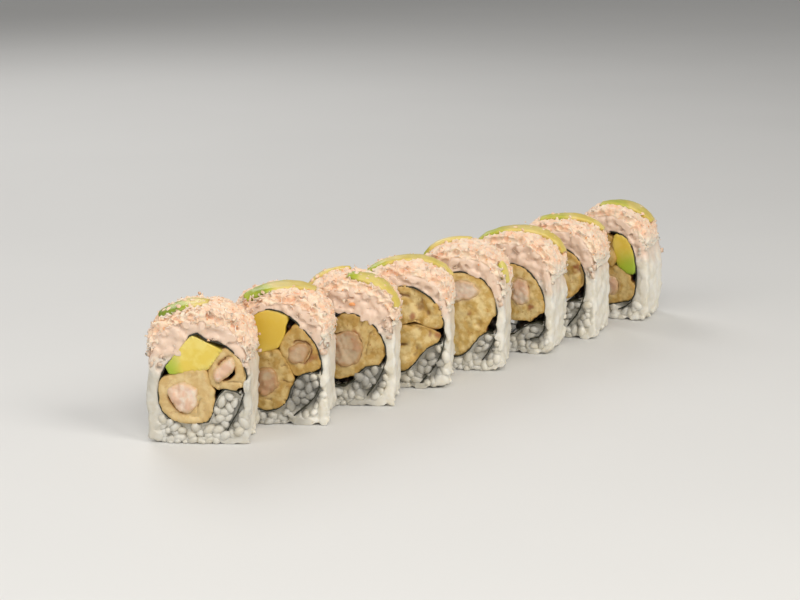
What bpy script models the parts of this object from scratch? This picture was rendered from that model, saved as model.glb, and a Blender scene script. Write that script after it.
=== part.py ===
"""An uramaki roll, cut into eight slices that stand in a row in the order they were cut.

Each slice is a ring of sushi rice round a sheet of nori, whose first edge is tucked in over a
pocket of rice. Inside the nori lie prawn tempura and avocado, and a blanket of crab salad with
thin slices of avocado covers the top. Every layer is a solid that runs through its slice.

A slice is drawn in its own plane, in millimetres: u runs to the right and z up, seen from the
cut face in front, and v runs from that face to the one behind. The row runs along +X.
"""

import math
from dataclasses import dataclass, field

import bmesh
import bpy
import numpy as np

MM = 0.001

# Thicknesses and clearances, in millimetres
SLICE_THICK = 22.0
NORI_THICK = 0.5
PIECE_GAP = 0.25
CRAB_THICK = 4.2
CRAB_EDGE = 0.9
STRIP_THICK = 2.0
STRIP_PROUD = 0.6
BATTER_WALL = 1.0

# How uneven the surfaces are
RICE_BUMP = 0.55
CRAB_BUMP = 0.5
CUT_EDGE_ROUND = 0.6

# Spacing of the points along the curves
RICE_STEP = 3.1
NORI_STEP = 3.3
CRAB_STEP = 3.4
FILLING_STEP = 2.7
DENSE = 720

# Stations through the thickness, as shares of it
RICE_STATIONS = (0.0, 0.05, 0.35, 0.65, 0.95, 1.0)
CRAB_STATIONS = (0.0, 0.06, 0.36, 0.64, 0.94, 1.0)

COLOURS = {
    "rice": (0.87, 0.85, 0.78),
    "nori": (0.02, 0.03, 0.02),
    "crab": (0.93, 0.74, 0.66),
    "avocado": (0.72, 0.70, 0.22),
    "strip": (0.62, 0.68, 0.20),
    "tempura": (0.80, 0.66, 0.38),
    "prawn": (0.88, 0.72, 0.66),
}
ROUGHNESS = {"rice": 0.45, "nori": 0.5, "crab": 0.55, "avocado": 0.4, "strip": 0.35, "tempura": 0.6, "prawn": 0.4}


@dataclass
class Filling:
    """A piece inside the nori, with the edge it has on the cut face.

    A tempura may hold a prawn. Its meat has an edge of its own, and now and then a wider hollow.
    """

    label: str
    edge: list
    corners: bool = False
    meat: list = None
    hollow: list = None


@dataclass
class Strip:
    """A thin slice of avocado over the topping, from one share of the arch to another."""

    span: tuple
    depth: tuple
    bow: float
    width: float


@dataclass
class Slice:
    """One cut piece: its place in the row, its outline, its nori and what it holds.

    The nori runs from its outer end up the right side, over the top, down the left and along the
    foot, then in over the pocket of rice until it meets its own beginning.
    """

    place: tuple
    turn: float
    width: float
    height: float
    nori: list
    cover: tuple = (0.64, 0.60)
    top_power: float = 2.6
    fillings: list = field(default_factory=list)
    strips: list = field(default_factory=list)


SLICES = [
    Slice(
        place=(-115, 4.3), turn=35.5, width=34.5, height=45.6,
        nori=[(9.5, 4.5), (13, 11), (15.5, 18.5), (15.5, 26), (9, 33.5), (4, 36.5), (-1, 37.5), (-7.5, 30),
              (-12.5, 21.5), (-12.5, 12), (-8, 7.5), (3, 7), (5.5, 14), (9.5, 18.5), (14.5, 16)],
        fillings=[
            Filling("avocado", [(0, 36.5), (8, 32.5), (4, 26.5), (-3, 24.5), (-9, 23.5), (-10, 26), (-4, 34.5)],
                    corners=True),
            Filling("tempura_left", [(-8.5, 23.5), (1.5, 24.5), (4.5, 16.5), (4, 8.5), (-4.5, 7.5), (-11, 10.5), (-12, 18)],
                    meat=[(-9.5, 17.5), (-5.5, 20), (-1, 18), (-1.5, 11.5), (-6, 11.5)]),
            Filling("tempura_right", [(8.5, 32), (13.5, 29.5), (15, 22.5), (13, 18.5), (7, 18.5), (4.5, 20), (4.5, 26)],
                    meat=[(5.5, 23.5), (10.5, 28.5), (12, 26), (7, 21.5)],
                    hollow=[(5.5, 24.5), (10, 30), (13, 28.5), (12.5, 22.5), (7, 21)]),
        ],
        strips=[Strip((0.25, 0.53), (0.22, 0.46), 0.03, 11)],
    ),
    Slice(
        place=(-81.5, -0.7), turn=34.5, width=34, height=46,
        nori=[(5, 3), (12, 9.5), (14.5, 18), (13, 27), (7, 34.5), (2, 38.5), (-5, 39.5), (-11, 35.5), (-14, 25),
              (-13, 12.5), (-6, 4.5), (2, 7), (5, 14.5), (9, 18), (14, 18)],
        fillings=[
            Filling("avocado", [(-6, 38.5), (1, 37), (2.5, 32.5), (-1, 27), (-9, 24.5), (-12, 29)]),
            Filling("tempura_right", [(1, 27.5), (5, 33.5), (11, 29), (13.5, 21), (9, 18.5), (5.5, 17.5)],
                    meat=[(2.5, 24.5), (6, 28), (10.5, 27), (8, 21.5), (4, 21.5)]),
            Filling("tempura_left", [(-6, 24.5), (0, 24.5), (4, 17), (1.5, 8), (-6, 5.5), (-12, 12), (-12, 20)],
                    meat=[(-7.5, 18), (-2.5, 19), (-0.5, 14), (-4, 10), (-8.5, 13)]),
        ],
        strips=[Strip((0.27, 0.68), (0.20, 0.72), 0.02, 12)],
    ),
    Slice(
        place=(-48.5, -2.9), turn=34.5, width=33.6, height=45.5,
        nori=[(6.5, 3.5), (11.5, 11), (13.5, 19), (10, 27.5), (3, 32.5), (-6, 32.5), (-13, 27), (-14.5, 19),
              (-11.5, 10.5), (-4, 6.5), (1, 8), (5, 13), (9, 14.5), (12.5, 13.5)],
        fillings=[
            Filling("tempura", [(-3.5, 31), (5, 31), (11.5, 23.5), (12, 16), (5, 14.5), (0, 10), (-6, 10), (-12.5, 16),
                                (-12.5, 25)],
                    meat=[(-5, 25), (2, 26), (5, 21), (2.5, 15), (-4, 15), (-7.5, 20)]),
        ],
        strips=[Strip((0.10, 0.46), (0.80, 0.88), 0, 6), Strip((0.48, 0.86), (0.28, 0.22), 0.04, 9.5)],
    ),
    Slice(
        place=(-18, -3), turn=34.5, width=33.6, height=45.5,
        nori=[(5.5, 1.5), (10, 6.5), (13.5, 13.5), (14.5, 22), (11.5, 31), (3, 37), (-6, 36), (-12.5, 29.5), (-14, 21),
              (-11, 11.5), (-2.5, 6), (2.5, 7.5), (8, 14.5), (14, 17)],
        fillings=[
            Filling("tempura_upper", [(1.5, 36.5), (9, 31.5), (13.5, 24), (10, 22.5), (3, 24.5), (-5, 23), (-11.5, 27.5),
                                      (-7, 34.5)]),
            Filling("tempura_lower", [(-3, 22), (4.5, 23), (12, 20), (8, 16), (2, 9.5), (-4.5, 8), (-11.5, 14), (-10.5, 22)]),
        ],
        strips=[Strip((0.20, 0.80), (0.20, 0.86), 0.02, 9)],
    ),
    Slice(
        place=(15, -2.4), turn=30, width=33.6, height=46.5,
        nori=[(8.5, 4), (12, 9.5), (14, 19), (12, 30.5), (5, 36), (-4, 36.5), (-11, 31), (-14, 21), (-11.5, 11), (-3, 5),
              (2.5, 6.5), (7, 12.5), (10.5, 14.5), (13.5, 13.5)],
        fillings=[
            Filling("tempura", [(0, 36), (8, 33), (12.5, 24.5), (10.5, 17), (5, 12), (0, 6.5), (-8, 9), (-12.5, 18),
                                (-11, 29), (-6, 34.5)],
                    meat=[(-5, 32), (2, 33.5), (7, 30), (3, 27), (-5, 27)]),
        ],
        strips=[Strip((0.14, 0.52), (0.80, 0.88), 0, 6), Strip((0.76, 0.90), (0.14, 0.14), 0, 4)],
    ),
    Slice(
        place=(48.7, -0.2), turn=21, width=34.2, height=46.3,
        nori=[(8, 5.5), (12.5, 7.5), (14, 15), (12.5, 24.5), (7, 32), (0, 34.5), (-8, 32), (-13, 24), (-13, 14),
              (-7, 6.5), (0, 6.5), (6, 10.5), (10, 12), (14, 11.5)],
        fillings=[
            Filling("tempura", [(2, 33), (9, 28), (13, 19), (9, 13.5), (0, 13), (-8.5, 17), (-10.5, 23.5), (-6, 31.5)],
                    meat=[(3.5, 29), (7, 26.5), (7, 20.5), (3, 19), (1, 24)]),
        ],
        strips=[Strip((0.20, 0.83), (0.24, 0.78), 0.05, 10)],
    ),
    Slice(
        place=(80, 1.5), turn=20, width=34.4, height=46.3,
        nori=[(5.5, 4.5), (10.5, 12), (12.5, 21), (11, 29), (5, 35), (-4, 36), (-11.5, 31), (-14, 21), (-11.5, 10.5),
              (-4.5, 6.5), (1, 9.5), (5.5, 14.5), (11.5, 15)],
        fillings=[
            Filling("tempura", [(0.5, 35), (8, 31), (11, 22.5), (8, 17), (0, 16), (-8.5, 16.5), (-12, 22), (-9, 31.5)]),
        ],
        strips=[Strip((0.34, 0.76), (0.40, 0.84), 0.03, 8.5)],
    ),
    Slice(
        place=(119.5, 3.5), turn=17.5, width=35, height=46.4, top_power=2.0, cover=(0.64, 0.62),
        nori=[(5, 4), (10, 7), (12, 14), (11.5, 25), (8, 33.5), (0, 36), (-9, 34), (-14, 26), (-14.5, 15), (-10, 7),
              (-1, 5.5), (6, 7), (10.5, 8)],
        fillings=[
            Filling("avocado", [(2.5, 31), (5.5, 34.5), (9, 31), (11, 23), (9.5, 19.5), (4.5, 23.5)]),
            Filling("tempura_lower", [(0, 22), (7.5, 18.5), (11, 13), (8, 8.5), (-1, 7), (-10, 9.5), (-12.5, 15),
                                      (-7.5, 21.5)],
                    meat=[(-2, 17.5), (4, 16.5), (4, 11), (-2, 10), (-5.5, 13.5)]),
            Filling("tempura_upper", [(-4, 22.5), (3, 24), (1.5, 31), (-2, 35), (-10, 31.5), (-12.5, 24)]),
        ],
        strips=[Strip((0.40, 0.80), (0.36, 0.66), 0.03, 10)],
    ),
]


def superellipse(centre, half_width, rise, drop, power_top, power_low, phi):
    """Points of a rounded arch: one power shapes its top, another its foot."""
    cos, sin = np.cos(phi), np.sin(phi)
    power = np.where(sin >= 0, power_top, power_low)
    reach = np.where(sin >= 0, rise, drop)
    u = centre[0] + half_width * np.sign(cos) * np.abs(cos) ** (2 / power)
    z = centre[1] + reach * np.sign(sin) * np.abs(sin) ** (2 / power)
    return np.stack([u, z], axis=1)


def lengths(curve):
    """The length run at each point of a curve."""
    steps = np.linalg.norm(np.diff(curve, axis=0), axis=1)
    return np.concatenate([[0.0], np.cumsum(steps)])


def at_lengths(curve, where, values=None):
    """Points of a curve, or values given along it, at these lengths."""
    run = lengths(curve)
    values = curve if values is None else values
    return np.stack([np.interp(where, run, column) for column in values.T], axis=1)


def resampled(curve, step):
    """The curve again, with even steps near the length asked for."""
    total = lengths(curve)[-1]
    count = max(2, round(total / step))
    return at_lengths(curve, np.linspace(0.0, total, count + 1))


def right_normals(curve):
    """Unit normals on the right-hand side of the way along a curve."""
    tangent = np.gradient(curve, axis=0)
    tangent /= np.linalg.norm(tangent, axis=1, keepdims=True) + 1e-12
    return np.stack([tangent[:, 1], -tangent[:, 0]], axis=1)


def spline(points, closed=False):
    """A smooth curve through points."""
    points = np.array(points, dtype=float)
    if closed:
        padded = np.concatenate([points[-1:], points, points[:2]])
    else:
        padded = np.concatenate([2 * points[:1] - points[1:2], points, 2 * points[-1:] - points[-2:-1]])
    t = np.linspace(0.0, 1.0, 12, endpoint=False)[:, None]
    parts = []
    for a, b, c, d in zip(padded, padded[1:], padded[2:], padded[3:]):
        parts.append(0.5 * (2 * b + (c - a) * t + (2 * a - 5 * b + 4 * c - d) * t**2 + (3 * b - a - 3 * c + d) * t**3))
    return np.concatenate(parts + ([points[:1]] if closed else [points[-1:]]))


def rice_outline(piece):
    """The rice's outer edge, counter-clockwise from the right, flat where it stands."""
    middle = 0.45 * (piece.height - CRAB_THICK)
    rise = piece.height - CRAB_THICK - middle
    phi = np.linspace(0.0, 2 * math.pi, DENSE + 1)
    half = piece.width / 2
    curve = superellipse((0.0, middle), half, rise, middle + 1.5, piece.top_power, 7.0, phi)
    curve[:, 1] = np.maximum(curve[:, 1], 0.0)
    return resampled(curve, 0.2)


def beside(line, amount):
    """An open line moved to its right by the same amount all along."""
    run = np.diff(line, axis=0)
    run /= np.linalg.norm(run, axis=1, keepdims=True)
    sides = np.stack([run[:, 1], -run[:, 0]], axis=1)
    before, after = np.concatenate([sides[:1], sides]), np.concatenate([sides, sides[-1:]])
    middle = before + after
    middle /= np.linalg.norm(middle, axis=1, keepdims=True)
    reach = amount / np.maximum((middle * after).sum(axis=1), 0.6)
    return line + middle * reach[:, None]


def nori_line(piece):
    """The nori's middle line, and the number of its first point past the place where it meets itself."""
    path = spline(piece.nori)
    early = path[: len(path) // 4]
    path[-1] = early[np.argmin(np.linalg.norm(early - path[-1], axis=1))]
    line = resampled(path, NORI_STEP)
    along = lengths(line)
    early = at_lengths(line, np.linspace(0.0, along[-1] / 4, 400))
    meeting = np.argmin(np.linalg.norm(early - line[-1], axis=1)) / 399 * along[-1] / 4
    return line, int(np.argmax(along > meeting))


def crossing(line, other):
    """The first place where one polyline crosses another: (point, index on line, index on other)."""
    for i in range(len(line) - 1):
        a, d = line[i], line[i + 1] - line[i]
        c, e = other[:-1], other[1:] - other[:-1]
        cross = d[0] * e[:, 1] - d[1] * e[:, 0]
        safe = np.where(np.abs(cross) < 1e-12, 1e-12, cross)
        gap = c - a
        s = (gap[:, 0] * e[:, 1] - gap[:, 1] * e[:, 0]) / safe
        t = (gap[:, 0] * d[1] - gap[:, 1] * d[0]) / safe
        hits = np.where((s >= 0) & (s <= 1) & (t >= 0) & (t <= 1))[0]
        if len(hits):
            k = hits[0]
            return a + s[k] * d, i, k
    return None


def rice_hole(piece):
    """The edge of the space in the rice: round the nori and its tail, and into the pocket."""
    line, join = nori_line(piece)
    clear = NORI_THICK / 2 + PIECE_GAP
    outside = beside(line, clear)
    inside = beside(line, -clear)[: join + 2]
    late = len(line) * 3 // 4
    point, i, k = crossing(outside[late:], inside)
    forward = np.concatenate([outside[: late + i + 1], [point]])
    back = inside[k::-1].copy()
    cap = line[0] - line[1]
    cap *= PIECE_GAP / np.linalg.norm(cap)
    forward[0] += cap
    back[-1] += cap
    return np.concatenate([forward, back])


def nori_strip(piece):
    """The nori's own outline: both sides of its middle line, stopping short of its beginning."""
    line, join = nori_line(piece)
    along = lengths(line)
    late = np.linspace(along[-1] * 0.75, along[-1], 600)
    beginning = np.concatenate([line[: join + 2], line[join::-1]])
    away = np.abs(distance(at_lengths(line, late), beginning))
    end = late[np.where(away > NORI_THICK + PIECE_GAP)[0][-1]]
    line = np.concatenate([line[along < end - 0.3], at_lengths(line, [end])])
    return np.concatenate([beside(line, NORI_THICK / 2), beside(line, -NORI_THICK / 2)[::-1]])


def distance(points, polygon):
    """How far points are from a closed polygon, negative inside it."""
    a, b = polygon, np.roll(polygon, -1, axis=0)
    run = b - a
    share = ((points[:, None] - a) * run).sum(axis=2) / ((run * run).sum(axis=1) + 1e-12)
    near = a + np.clip(share, 0.0, 1.0)[..., None] * run
    away = np.linalg.norm(points[:, None] - near, axis=2).min(axis=1)
    u, z = points[:, :1], points[:, 1:]
    spans = (a[:, 1] > z) != (b[:, 1] > z)
    rise = np.where(np.abs(run[:, 1]) < 1e-12, 1e-12, run[:, 1])
    left = u < a[:, 0] + (z - a[:, 1]) / rise * run[:, 0]
    inside = (spans & left).sum(axis=1) % 2 == 1
    return np.where(inside, -away, away)


def fitted(edge, holder, margin, others=()):
    """Draws an edge in towards its middle until it is clear of its holder and its neighbours."""
    centre = edge.mean(axis=0)
    shares = np.linspace(0.0, 1.0, 8, endpoint=False)
    for _ in range(300):
        after = np.roll(edge, -1, axis=0)
        samples = np.concatenate([edge + (after - edge) * t for t in shares])
        tight = distance(samples, holder) > -margin
        for other in others:
            tight |= distance(samples, other) < PIECE_GAP
        tight = tight.reshape(len(shares), -1).any(axis=0)
        if not tight.any():
            break
        moved = (tight | np.roll(tight, 1))[:, None]
        edge = np.where(moved, edge + (centre - edge) * 0.015, edge)
    return edge


def grown(edge, amount):
    """A closed edge moved outwards."""
    after = np.roll(edge, -1, axis=0)
    area = (edge[:, 0] * after[:, 1] - after[:, 0] * edge[:, 1]).sum()
    normals = right_normals(np.concatenate([edge[-1:], edge, edge[:1]]))[1:-1]
    return edge + math.copysign(amount, area) * normals


def filling_edge(piece, filling, others):
    """A filling's edge, clear of the nori and of the fillings already placed."""
    line, join = nori_line(piece)
    if filling.corners:
        edge = np.array(filling.edge, dtype=float)
    else:
        edge = resampled(spline(filling.edge, closed=True), FILLING_STEP)[:-1]
    return fitted(edge, line[join:], NORI_THICK / 2 + PIECE_GAP, others)


def meat_edges(filling, batter):
    """The edges of the meat and of the hollow it lies in, both well inside the batter."""
    meat = resampled(spline(filling.meat, closed=True), FILLING_STEP)[:-1]
    meat = fitted(meat, batter, BATTER_WALL + PIECE_GAP)
    if not filling.hollow:
        return meat, grown(meat, PIECE_GAP)
    hollow = resampled(spline(filling.hollow, closed=True), FILLING_STEP)[:-1]
    hollow = fitted(hollow, batter, BATTER_WALL)
    return fitted(meat, hollow, PIECE_GAP), hollow


def lifted(loop, v):
    """Plane points with their place through the slice added."""
    return np.column_stack([loop, np.broadcast_to(v, len(loop))])


def add_wall(bm, loops):
    """A wall through loops of points, front to back. It returns its first and last edge loops."""
    rows = [[bm.verts.new(p) for p in loop] for loop in loops]
    for row, after in zip(rows[:-1], rows[1:]):
        for k in range(len(row)):
            n = (k + 1) % len(row)
            bm.faces.new((row[k], row[n], after[n], after[k]))
    ends = []
    for row in (rows[0], rows[-1]):
        ends.append([bm.edges.get((row[k], row[(k + 1) % len(row)])) for k in range(len(row))])
    return ends


def solid(name, kind, piece, outer, hole=None):
    """An object from its outer loops and, where it has one, the loops of its hole."""
    bm = bmesh.new()
    ends = add_wall(bm, outer)
    if hole is not None:
        ends = [a + b for a, b in zip(ends, add_wall(bm, hole))]
    for edges in ends:
        bmesh.ops.triangle_fill(bm, edges=edges, use_beauty=True)
    bmesh.ops.recalc_face_normals(bm, faces=bm.faces)
    turn = math.radians(piece.turn)
    into, right = np.array([math.cos(turn), math.sin(turn)]), np.array([math.sin(turn), -math.cos(turn)])
    for vert in bm.verts:
        u, z, v = vert.co
        x, y = np.array(piece.place) + u * right + v * into
        vert.co = (x * MM, y * MM, z * MM)
    if bm.calc_volume(signed=True) < 0:
        bmesh.ops.reverse_faces(bm, faces=bm.faces)
    mesh = bpy.data.meshes.new(name)
    bm.to_mesh(mesh)
    bm.free()
    mesh.materials.append(material(kind))
    obj = bpy.data.objects.new(name, mesh)
    bpy.context.scene.collection.objects.link(obj)
    return obj


def material(kind):
    found = bpy.data.materials.get(kind)
    if found:
        return found
    made = bpy.data.materials.new(kind)
    made.use_nodes = True
    shader = made.node_tree.nodes["Principled BSDF"]
    shader.inputs["Base Color"].default_value = (*COLOURS[kind], 1.0)
    shader.inputs["Roughness"].default_value = ROUGHNESS[kind]
    shader.inputs["Metallic"].default_value = 0.0
    return made


def cover_lengths(piece, outline):
    """Where the topping starts on the right of the outline and ends on the left, as lengths."""
    run = lengths(outline)
    top = np.argmax(outline[:, 1])
    right, left = (share * piece.height for share in (piece.cover[1], piece.cover[0]))
    start = run[np.argmax(outline[:top, 1] >= right)]
    end = run[top + np.argmax(outline[top:, 1] <= left)]
    return start, end


def make_rice(name, piece, rng):
    """The ring of rice with its pocket, and bumps the size of grains where it isn't covered."""
    outline = rice_outline(piece)
    start, end = cover_lengths(piece, outline)
    total = lengths(outline)[-1]
    where = np.linspace(0.0, total, round(total / RICE_STEP), endpoint=False)
    points = at_lengths(outline, where)
    normals = at_lengths(outline, where, right_normals(outline))
    bare = np.clip(np.maximum(start - where, where - end) / 3.0, 0.0, 1.0)
    bare *= points[:, 1] > 1.0
    loops = []
    for share in RICE_STATIONS:
        bump = RICE_BUMP * bare * rng.uniform(-0.7, 1.0, len(where))
        sink = CUT_EDGE_ROUND if share in (0.0, 1.0) else 0.0
        loop = points + normals * (bump * (sink == 0) - sink * (points[:, 1:] > 1.0).ravel())[:, None]
        loop[:, 1] = np.maximum(loop[:, 1], 0.0)
        loops.append(lifted(loop, share * SLICE_THICK))
    hole = rice_hole(piece)
    holes = [lifted(hole, share * SLICE_THICK) for share in (0.0, 1.0)]
    return solid(name, "rice", piece, loops, holes)


def crab_surface(piece, shares):
    """Inner points, outward normals and thickness of the topping at shares of its arch, left to right."""
    outline = rice_outline(piece)
    start, end = cover_lengths(piece, outline)
    where = end + (start - end) * shares
    points = at_lengths(outline, where)
    normals = at_lengths(outline, where, right_normals(outline))
    normals /= np.linalg.norm(normals, axis=1, keepdims=True)
    taper = np.clip(np.sin(math.pi * shares) * 1.6, 0.0, 1.0)
    thick = CRAB_EDGE + (CRAB_THICK - PIECE_GAP - CRAB_EDGE) * taper
    return points + normals * PIECE_GAP, normals, thick


def make_crab(name, piece, rng):
    """The blanket of crab salad, thick over the top and thin where it ends on the sides."""
    outline = rice_outline(piece)
    start, end = cover_lengths(piece, outline)
    shares = np.linspace(0.0, 1.0, round((end - start) / CRAB_STEP) + 1)
    inner, normals, thick = crab_surface(piece, shares)
    loops = []
    for share in CRAB_STATIONS:
        edge = share in (0.0, 1.0)
        bump = CRAB_BUMP * rng.uniform(-1.0, 1.0, len(shares))
        outer = inner + normals * np.maximum(thick + bump - CUT_EDGE_ROUND * edge, 0.5)[:, None]
        loops.append(lifted(np.concatenate([outer, inner[::-1]]), share * SLICE_THICK))
    return solid(name, "crab", piece, loops)


def strip_loops(piece, strip, margin, headroom=0.0):
    """Cross loops of an avocado strip along the arch, grown by a margin on every side, and more upwards."""
    total = abs(np.subtract(*cover_lengths(piece, rice_outline(piece))))
    reach = margin / total
    shares = np.linspace(strip.span[0] - reach, strip.span[1] + reach, 9)
    t = np.linspace(0.0, 1.0, 9)
    points, normals, thick = crab_surface(piece, shares)
    middle = strip.depth[0] + (strip.depth[1] - strip.depth[0]) * t + strip.bow * 4 * t * (1 - t)
    half = strip.width / 2 * (0.35 + 0.65 * np.sin(math.pi * np.clip(t, 0.04, 0.96)) ** 0.6) + margin
    front = np.maximum(middle * SLICE_THICK - half, 0.5 - margin)
    back = np.minimum(middle * SLICE_THICK + half, SLICE_THICK - 0.5 + margin)
    top = thick + STRIP_PROUD + margin + headroom
    low = thick + STRIP_PROUD - STRIP_THICK - margin
    loops = []
    for k in range(len(t)):
        corners = ((low[k], front[k]), (top[k] - 0.5, front[k]), (top[k], (front[k] + back[k]) / 2),
                   (top[k] - 0.5, back[k]), (low[k], back[k]))
        plane = [points[k] + normals[k] * out for out, _ in corners]
        loops.append(np.column_stack([plane, [v for _, v in corners]]))
    return loops


def cut_from(target, cutter):
    """Cuts one object's shape out of another, and removes the cutter."""
    cut = target.modifiers.new("recess", "BOOLEAN")
    cut.operation = "DIFFERENCE"
    cut.solver = "EXACT"
    cut.object = cutter
    graph = bpy.context.evaluated_depsgraph_get()
    made = bpy.data.meshes.new_from_object(target.evaluated_get(graph))
    target.modifiers.clear()
    target.data = made
    bpy.data.objects.remove(cutter)


def make_slice(number, piece):
    """All the solids of one slice."""
    rng = np.random.default_rng(100 + number)
    name = f"slice{number}_"
    objects = [make_rice(name + "rice", piece, rng)]
    strip = nori_strip(piece)
    objects.append(solid(name + "nori", "nori", piece, [lifted(strip, v) for v in (0.15, SLICE_THICK - 0.15)]))
    crab = make_crab(name + "crab", piece, rng)
    objects.append(crab)
    for k, strip in enumerate(piece.strips, 1):
        label = name + "topping_avocado" + (f"_{k}" if len(piece.strips) > 1 else "")
        objects.append(solid(label, "strip", piece, strip_loops(piece, strip, 0.0)))
        cut_from(crab, solid("cutter", "strip", piece, strip_loops(piece, strip, PIECE_GAP, 1.0)))
    edges = []
    for filling in piece.fillings:
        edge = filling_edge(piece, filling, edges)
        edges.append(edge)
        ends = (rng.uniform(0.0, 0.5), SLICE_THICK - rng.uniform(0.0, 0.5))
        hole = None
        if filling.meat:
            meat, hollow = meat_edges(filling, edge)
            label = name + filling.label.replace("tempura", "prawn")
            objects.append(solid(label, "prawn", piece, [lifted(meat, v) for v in ends]))
            hole = [lifted(hollow, v) for v in ends]
        kind = filling.label.split("_")[0]
        objects.append(solid(name + filling.label, kind, piece, [lifted(edge, v) for v in ends], hole))
    return objects


def centre_on_origin(objects):
    """Moves the whole row so that the origin is at the middle of its foot."""
    points = np.concatenate([[vert.co[:] for vert in obj.data.vertices] for obj in objects])
    low, high = points.min(axis=0), points.max(axis=0)
    shift = (-(low[0] + high[0]) / 2, -(low[1] + high[1]) / 2, -low[2])
    for obj in objects:
        for vert in obj.data.vertices:
            vert.co = [c + s for c, s in zip(vert.co, shift)]


def main():
    for obj in list(bpy.data.objects):
        bpy.data.objects.remove(obj)
    objects = []
    for number, piece in enumerate(SLICES, 1):
        objects += make_slice(number, piece)
    centre_on_origin(objects)


main()
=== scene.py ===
"""Looks of an uramaki roll cut into eight slices: sticky rice, nori, crab salad, avocado and prawn tempura.

Each slice has a plane of its own, in millimetres: u to the right and z up, seen from the cut face in
front, and v from that face to the one behind. Every piece starts from the frame's solid of that name.
"""

import math

import bmesh
import bpy
import numpy as np
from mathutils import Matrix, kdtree


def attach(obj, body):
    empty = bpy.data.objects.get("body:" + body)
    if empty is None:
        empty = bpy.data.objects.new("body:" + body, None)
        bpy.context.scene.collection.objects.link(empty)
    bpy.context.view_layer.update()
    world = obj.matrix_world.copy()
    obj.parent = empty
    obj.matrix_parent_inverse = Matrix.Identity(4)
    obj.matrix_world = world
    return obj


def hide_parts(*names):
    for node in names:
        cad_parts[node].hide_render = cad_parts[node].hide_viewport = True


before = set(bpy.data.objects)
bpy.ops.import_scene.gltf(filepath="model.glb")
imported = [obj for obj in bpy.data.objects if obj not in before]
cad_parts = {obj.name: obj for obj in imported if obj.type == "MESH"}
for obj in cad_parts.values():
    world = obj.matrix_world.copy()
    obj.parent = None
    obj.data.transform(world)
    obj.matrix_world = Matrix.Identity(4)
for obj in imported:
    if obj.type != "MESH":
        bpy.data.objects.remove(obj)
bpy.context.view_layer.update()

MM = 0.001
THICK = 22.0

# Width of the squares that each kind of surface is made of, in millimetres
CORE_MESH = 0.60
SIDES_MESH = 0.50
RICE_MESH = 0.51
CRAB_MESH = 0.40
FILLING_MESH = 0.44
STRIP_MESH = 0.38

# How squarely a face or a point looks along the roll, to count as part of a cut face
CUT_SHARE = 0.6
FLAT_CUT_SHARE = 0.8

# Sizes of a grain of rice and of what the crab salad is made of, in millimetres
GRAIN = (5.4, 2.7, 2.3)
SOFT_GRAIN = (5.0, 3.3, 2.9)
LUMP = (1.8, 1.2, 0.9)
SHRED = (3.0, 0.6)
FINE_SHRED = (2.0, 0.28)
FLECK = (1.2, 0.65, 0.35)


class Slice:
    """Where one slice stands, in millimetres, how far its cut face is turned, and its size and pocket."""

    def __init__(self, number, foot, turn, width, height, pocket):
        self.name = f"slice{number}"
        self.number = number
        self.foot = np.array(foot)
        angle = math.radians(turn)
        self.into = np.array([math.cos(angle), math.sin(angle)])
        self.right = np.array([math.sin(angle), -math.cos(angle)])
        self.width, self.height, self.pocket = width, height, pocket

    def local(self, points):
        """Places in metres, as u, v and z in millimetres."""
        flat = points[:, :2] / MM - self.foot
        return np.stack([flat @ self.right, flat @ self.into, points[:, 2] / MM], axis=1)

    def place(self, local):
        """u, v and z in millimetres, as places in metres."""
        flat = self.foot + local[:, :1] * self.right + local[:, 1:2] * self.into
        return np.concatenate([flat, local[:, 2:3]], axis=1) * MM

    def turned(self, directions):
        """Directions in the row's frame, seen in the slice's own."""
        flat = directions[:, :2]
        return np.stack([flat @ self.right, flat @ self.into, directions[:, 2]], axis=1)

    def seen(self, skin):
        """Where a skin's points are and which way they face, in the slice's own frame."""
        return self.local(skin.points), self.turned(skin.normals)


# The pocket of rice under the tuck of the nori: its middle and half sizes in u and z
SLICES = [
    Slice(1, (-125.33, -2.50), 35.5, 34.5, 45.6, (9.5, 11.0, 5.5, 7.5)),
    Slice(2, (-91.83, -7.50), 34.5, 34.0, 46.0, (7.5, 11.5, 6.5, 7.5)),
    Slice(3, (-58.83, -9.70), 34.5, 33.6, 45.5, (6.5, 9.0, 6.5, 6.0)),
    Slice(4, (-28.33, -9.80), 34.5, 33.6, 45.5, (8.0, 9.5, 6.5, 7.0)),
    Slice(5, (4.67, -9.20), 30.0, 33.6, 46.5, (8.0, 8.5, 6.0, 6.0)),
    Slice(6, (38.37, -7.00), 21.0, 34.2, 46.3, (9.0, 8.0, 6.0, 5.0)),
    Slice(7, (69.67, -5.30), 20.0, 34.4, 46.3, (7.5, 9.5, 6.0, 6.5)),
    Slice(8, (109.17, -3.30), 17.5, 35.0, 46.4, (8.0, 6.0, 4.0, 3.5)),
]


# How much darker the rice in each slice's pocket is: its own wet grey, and painted shade where the pocket lies in
# shade
POCKET_WET_AND_SHADE = (0.45, 1.0, 0.9, 0.8, 0.6, 0.75, 0.65, 0.45)

# How far the batter and the prawn in each slice are darkened by painted shade, for the shade that falls on them
SLICE_SHADE = {
    1: (0.2, 0.15), 2: (0.5, 0.75), 3: (0.5, 0.7), 4: (0.15, 0.0),
    5: (0.1, 0.3), 6: (0.25, 0.3), 7: (0.2, 0.0), 8: (0.45, 0.4),
}

# Where the nori is drawn in against a flat side of the filling: u and z, the move, and its reach
DRAWN_IN = {1: [((-6.3, 32.3), (1.2, -0.95), 3.6), ((3.2, 35.2), (-0.7, -2.0), 4.2)]}

# Open gaps between filling and nori: u, z and reach
GAPS = {
    1: [(-10.9, 23.6, 2.2)],
    2: [(3.0, 33.0, 2.2)],
    3: [(-1.0, 7.5, 3.2), (12.5, 16.4, 2.0)],
    5: [(12.5, 17.0, 3.2)],
    6: [(5.0, 8.8, 4.5)],
    7: [(9.0, 15.2, 2.5)],
}

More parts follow.
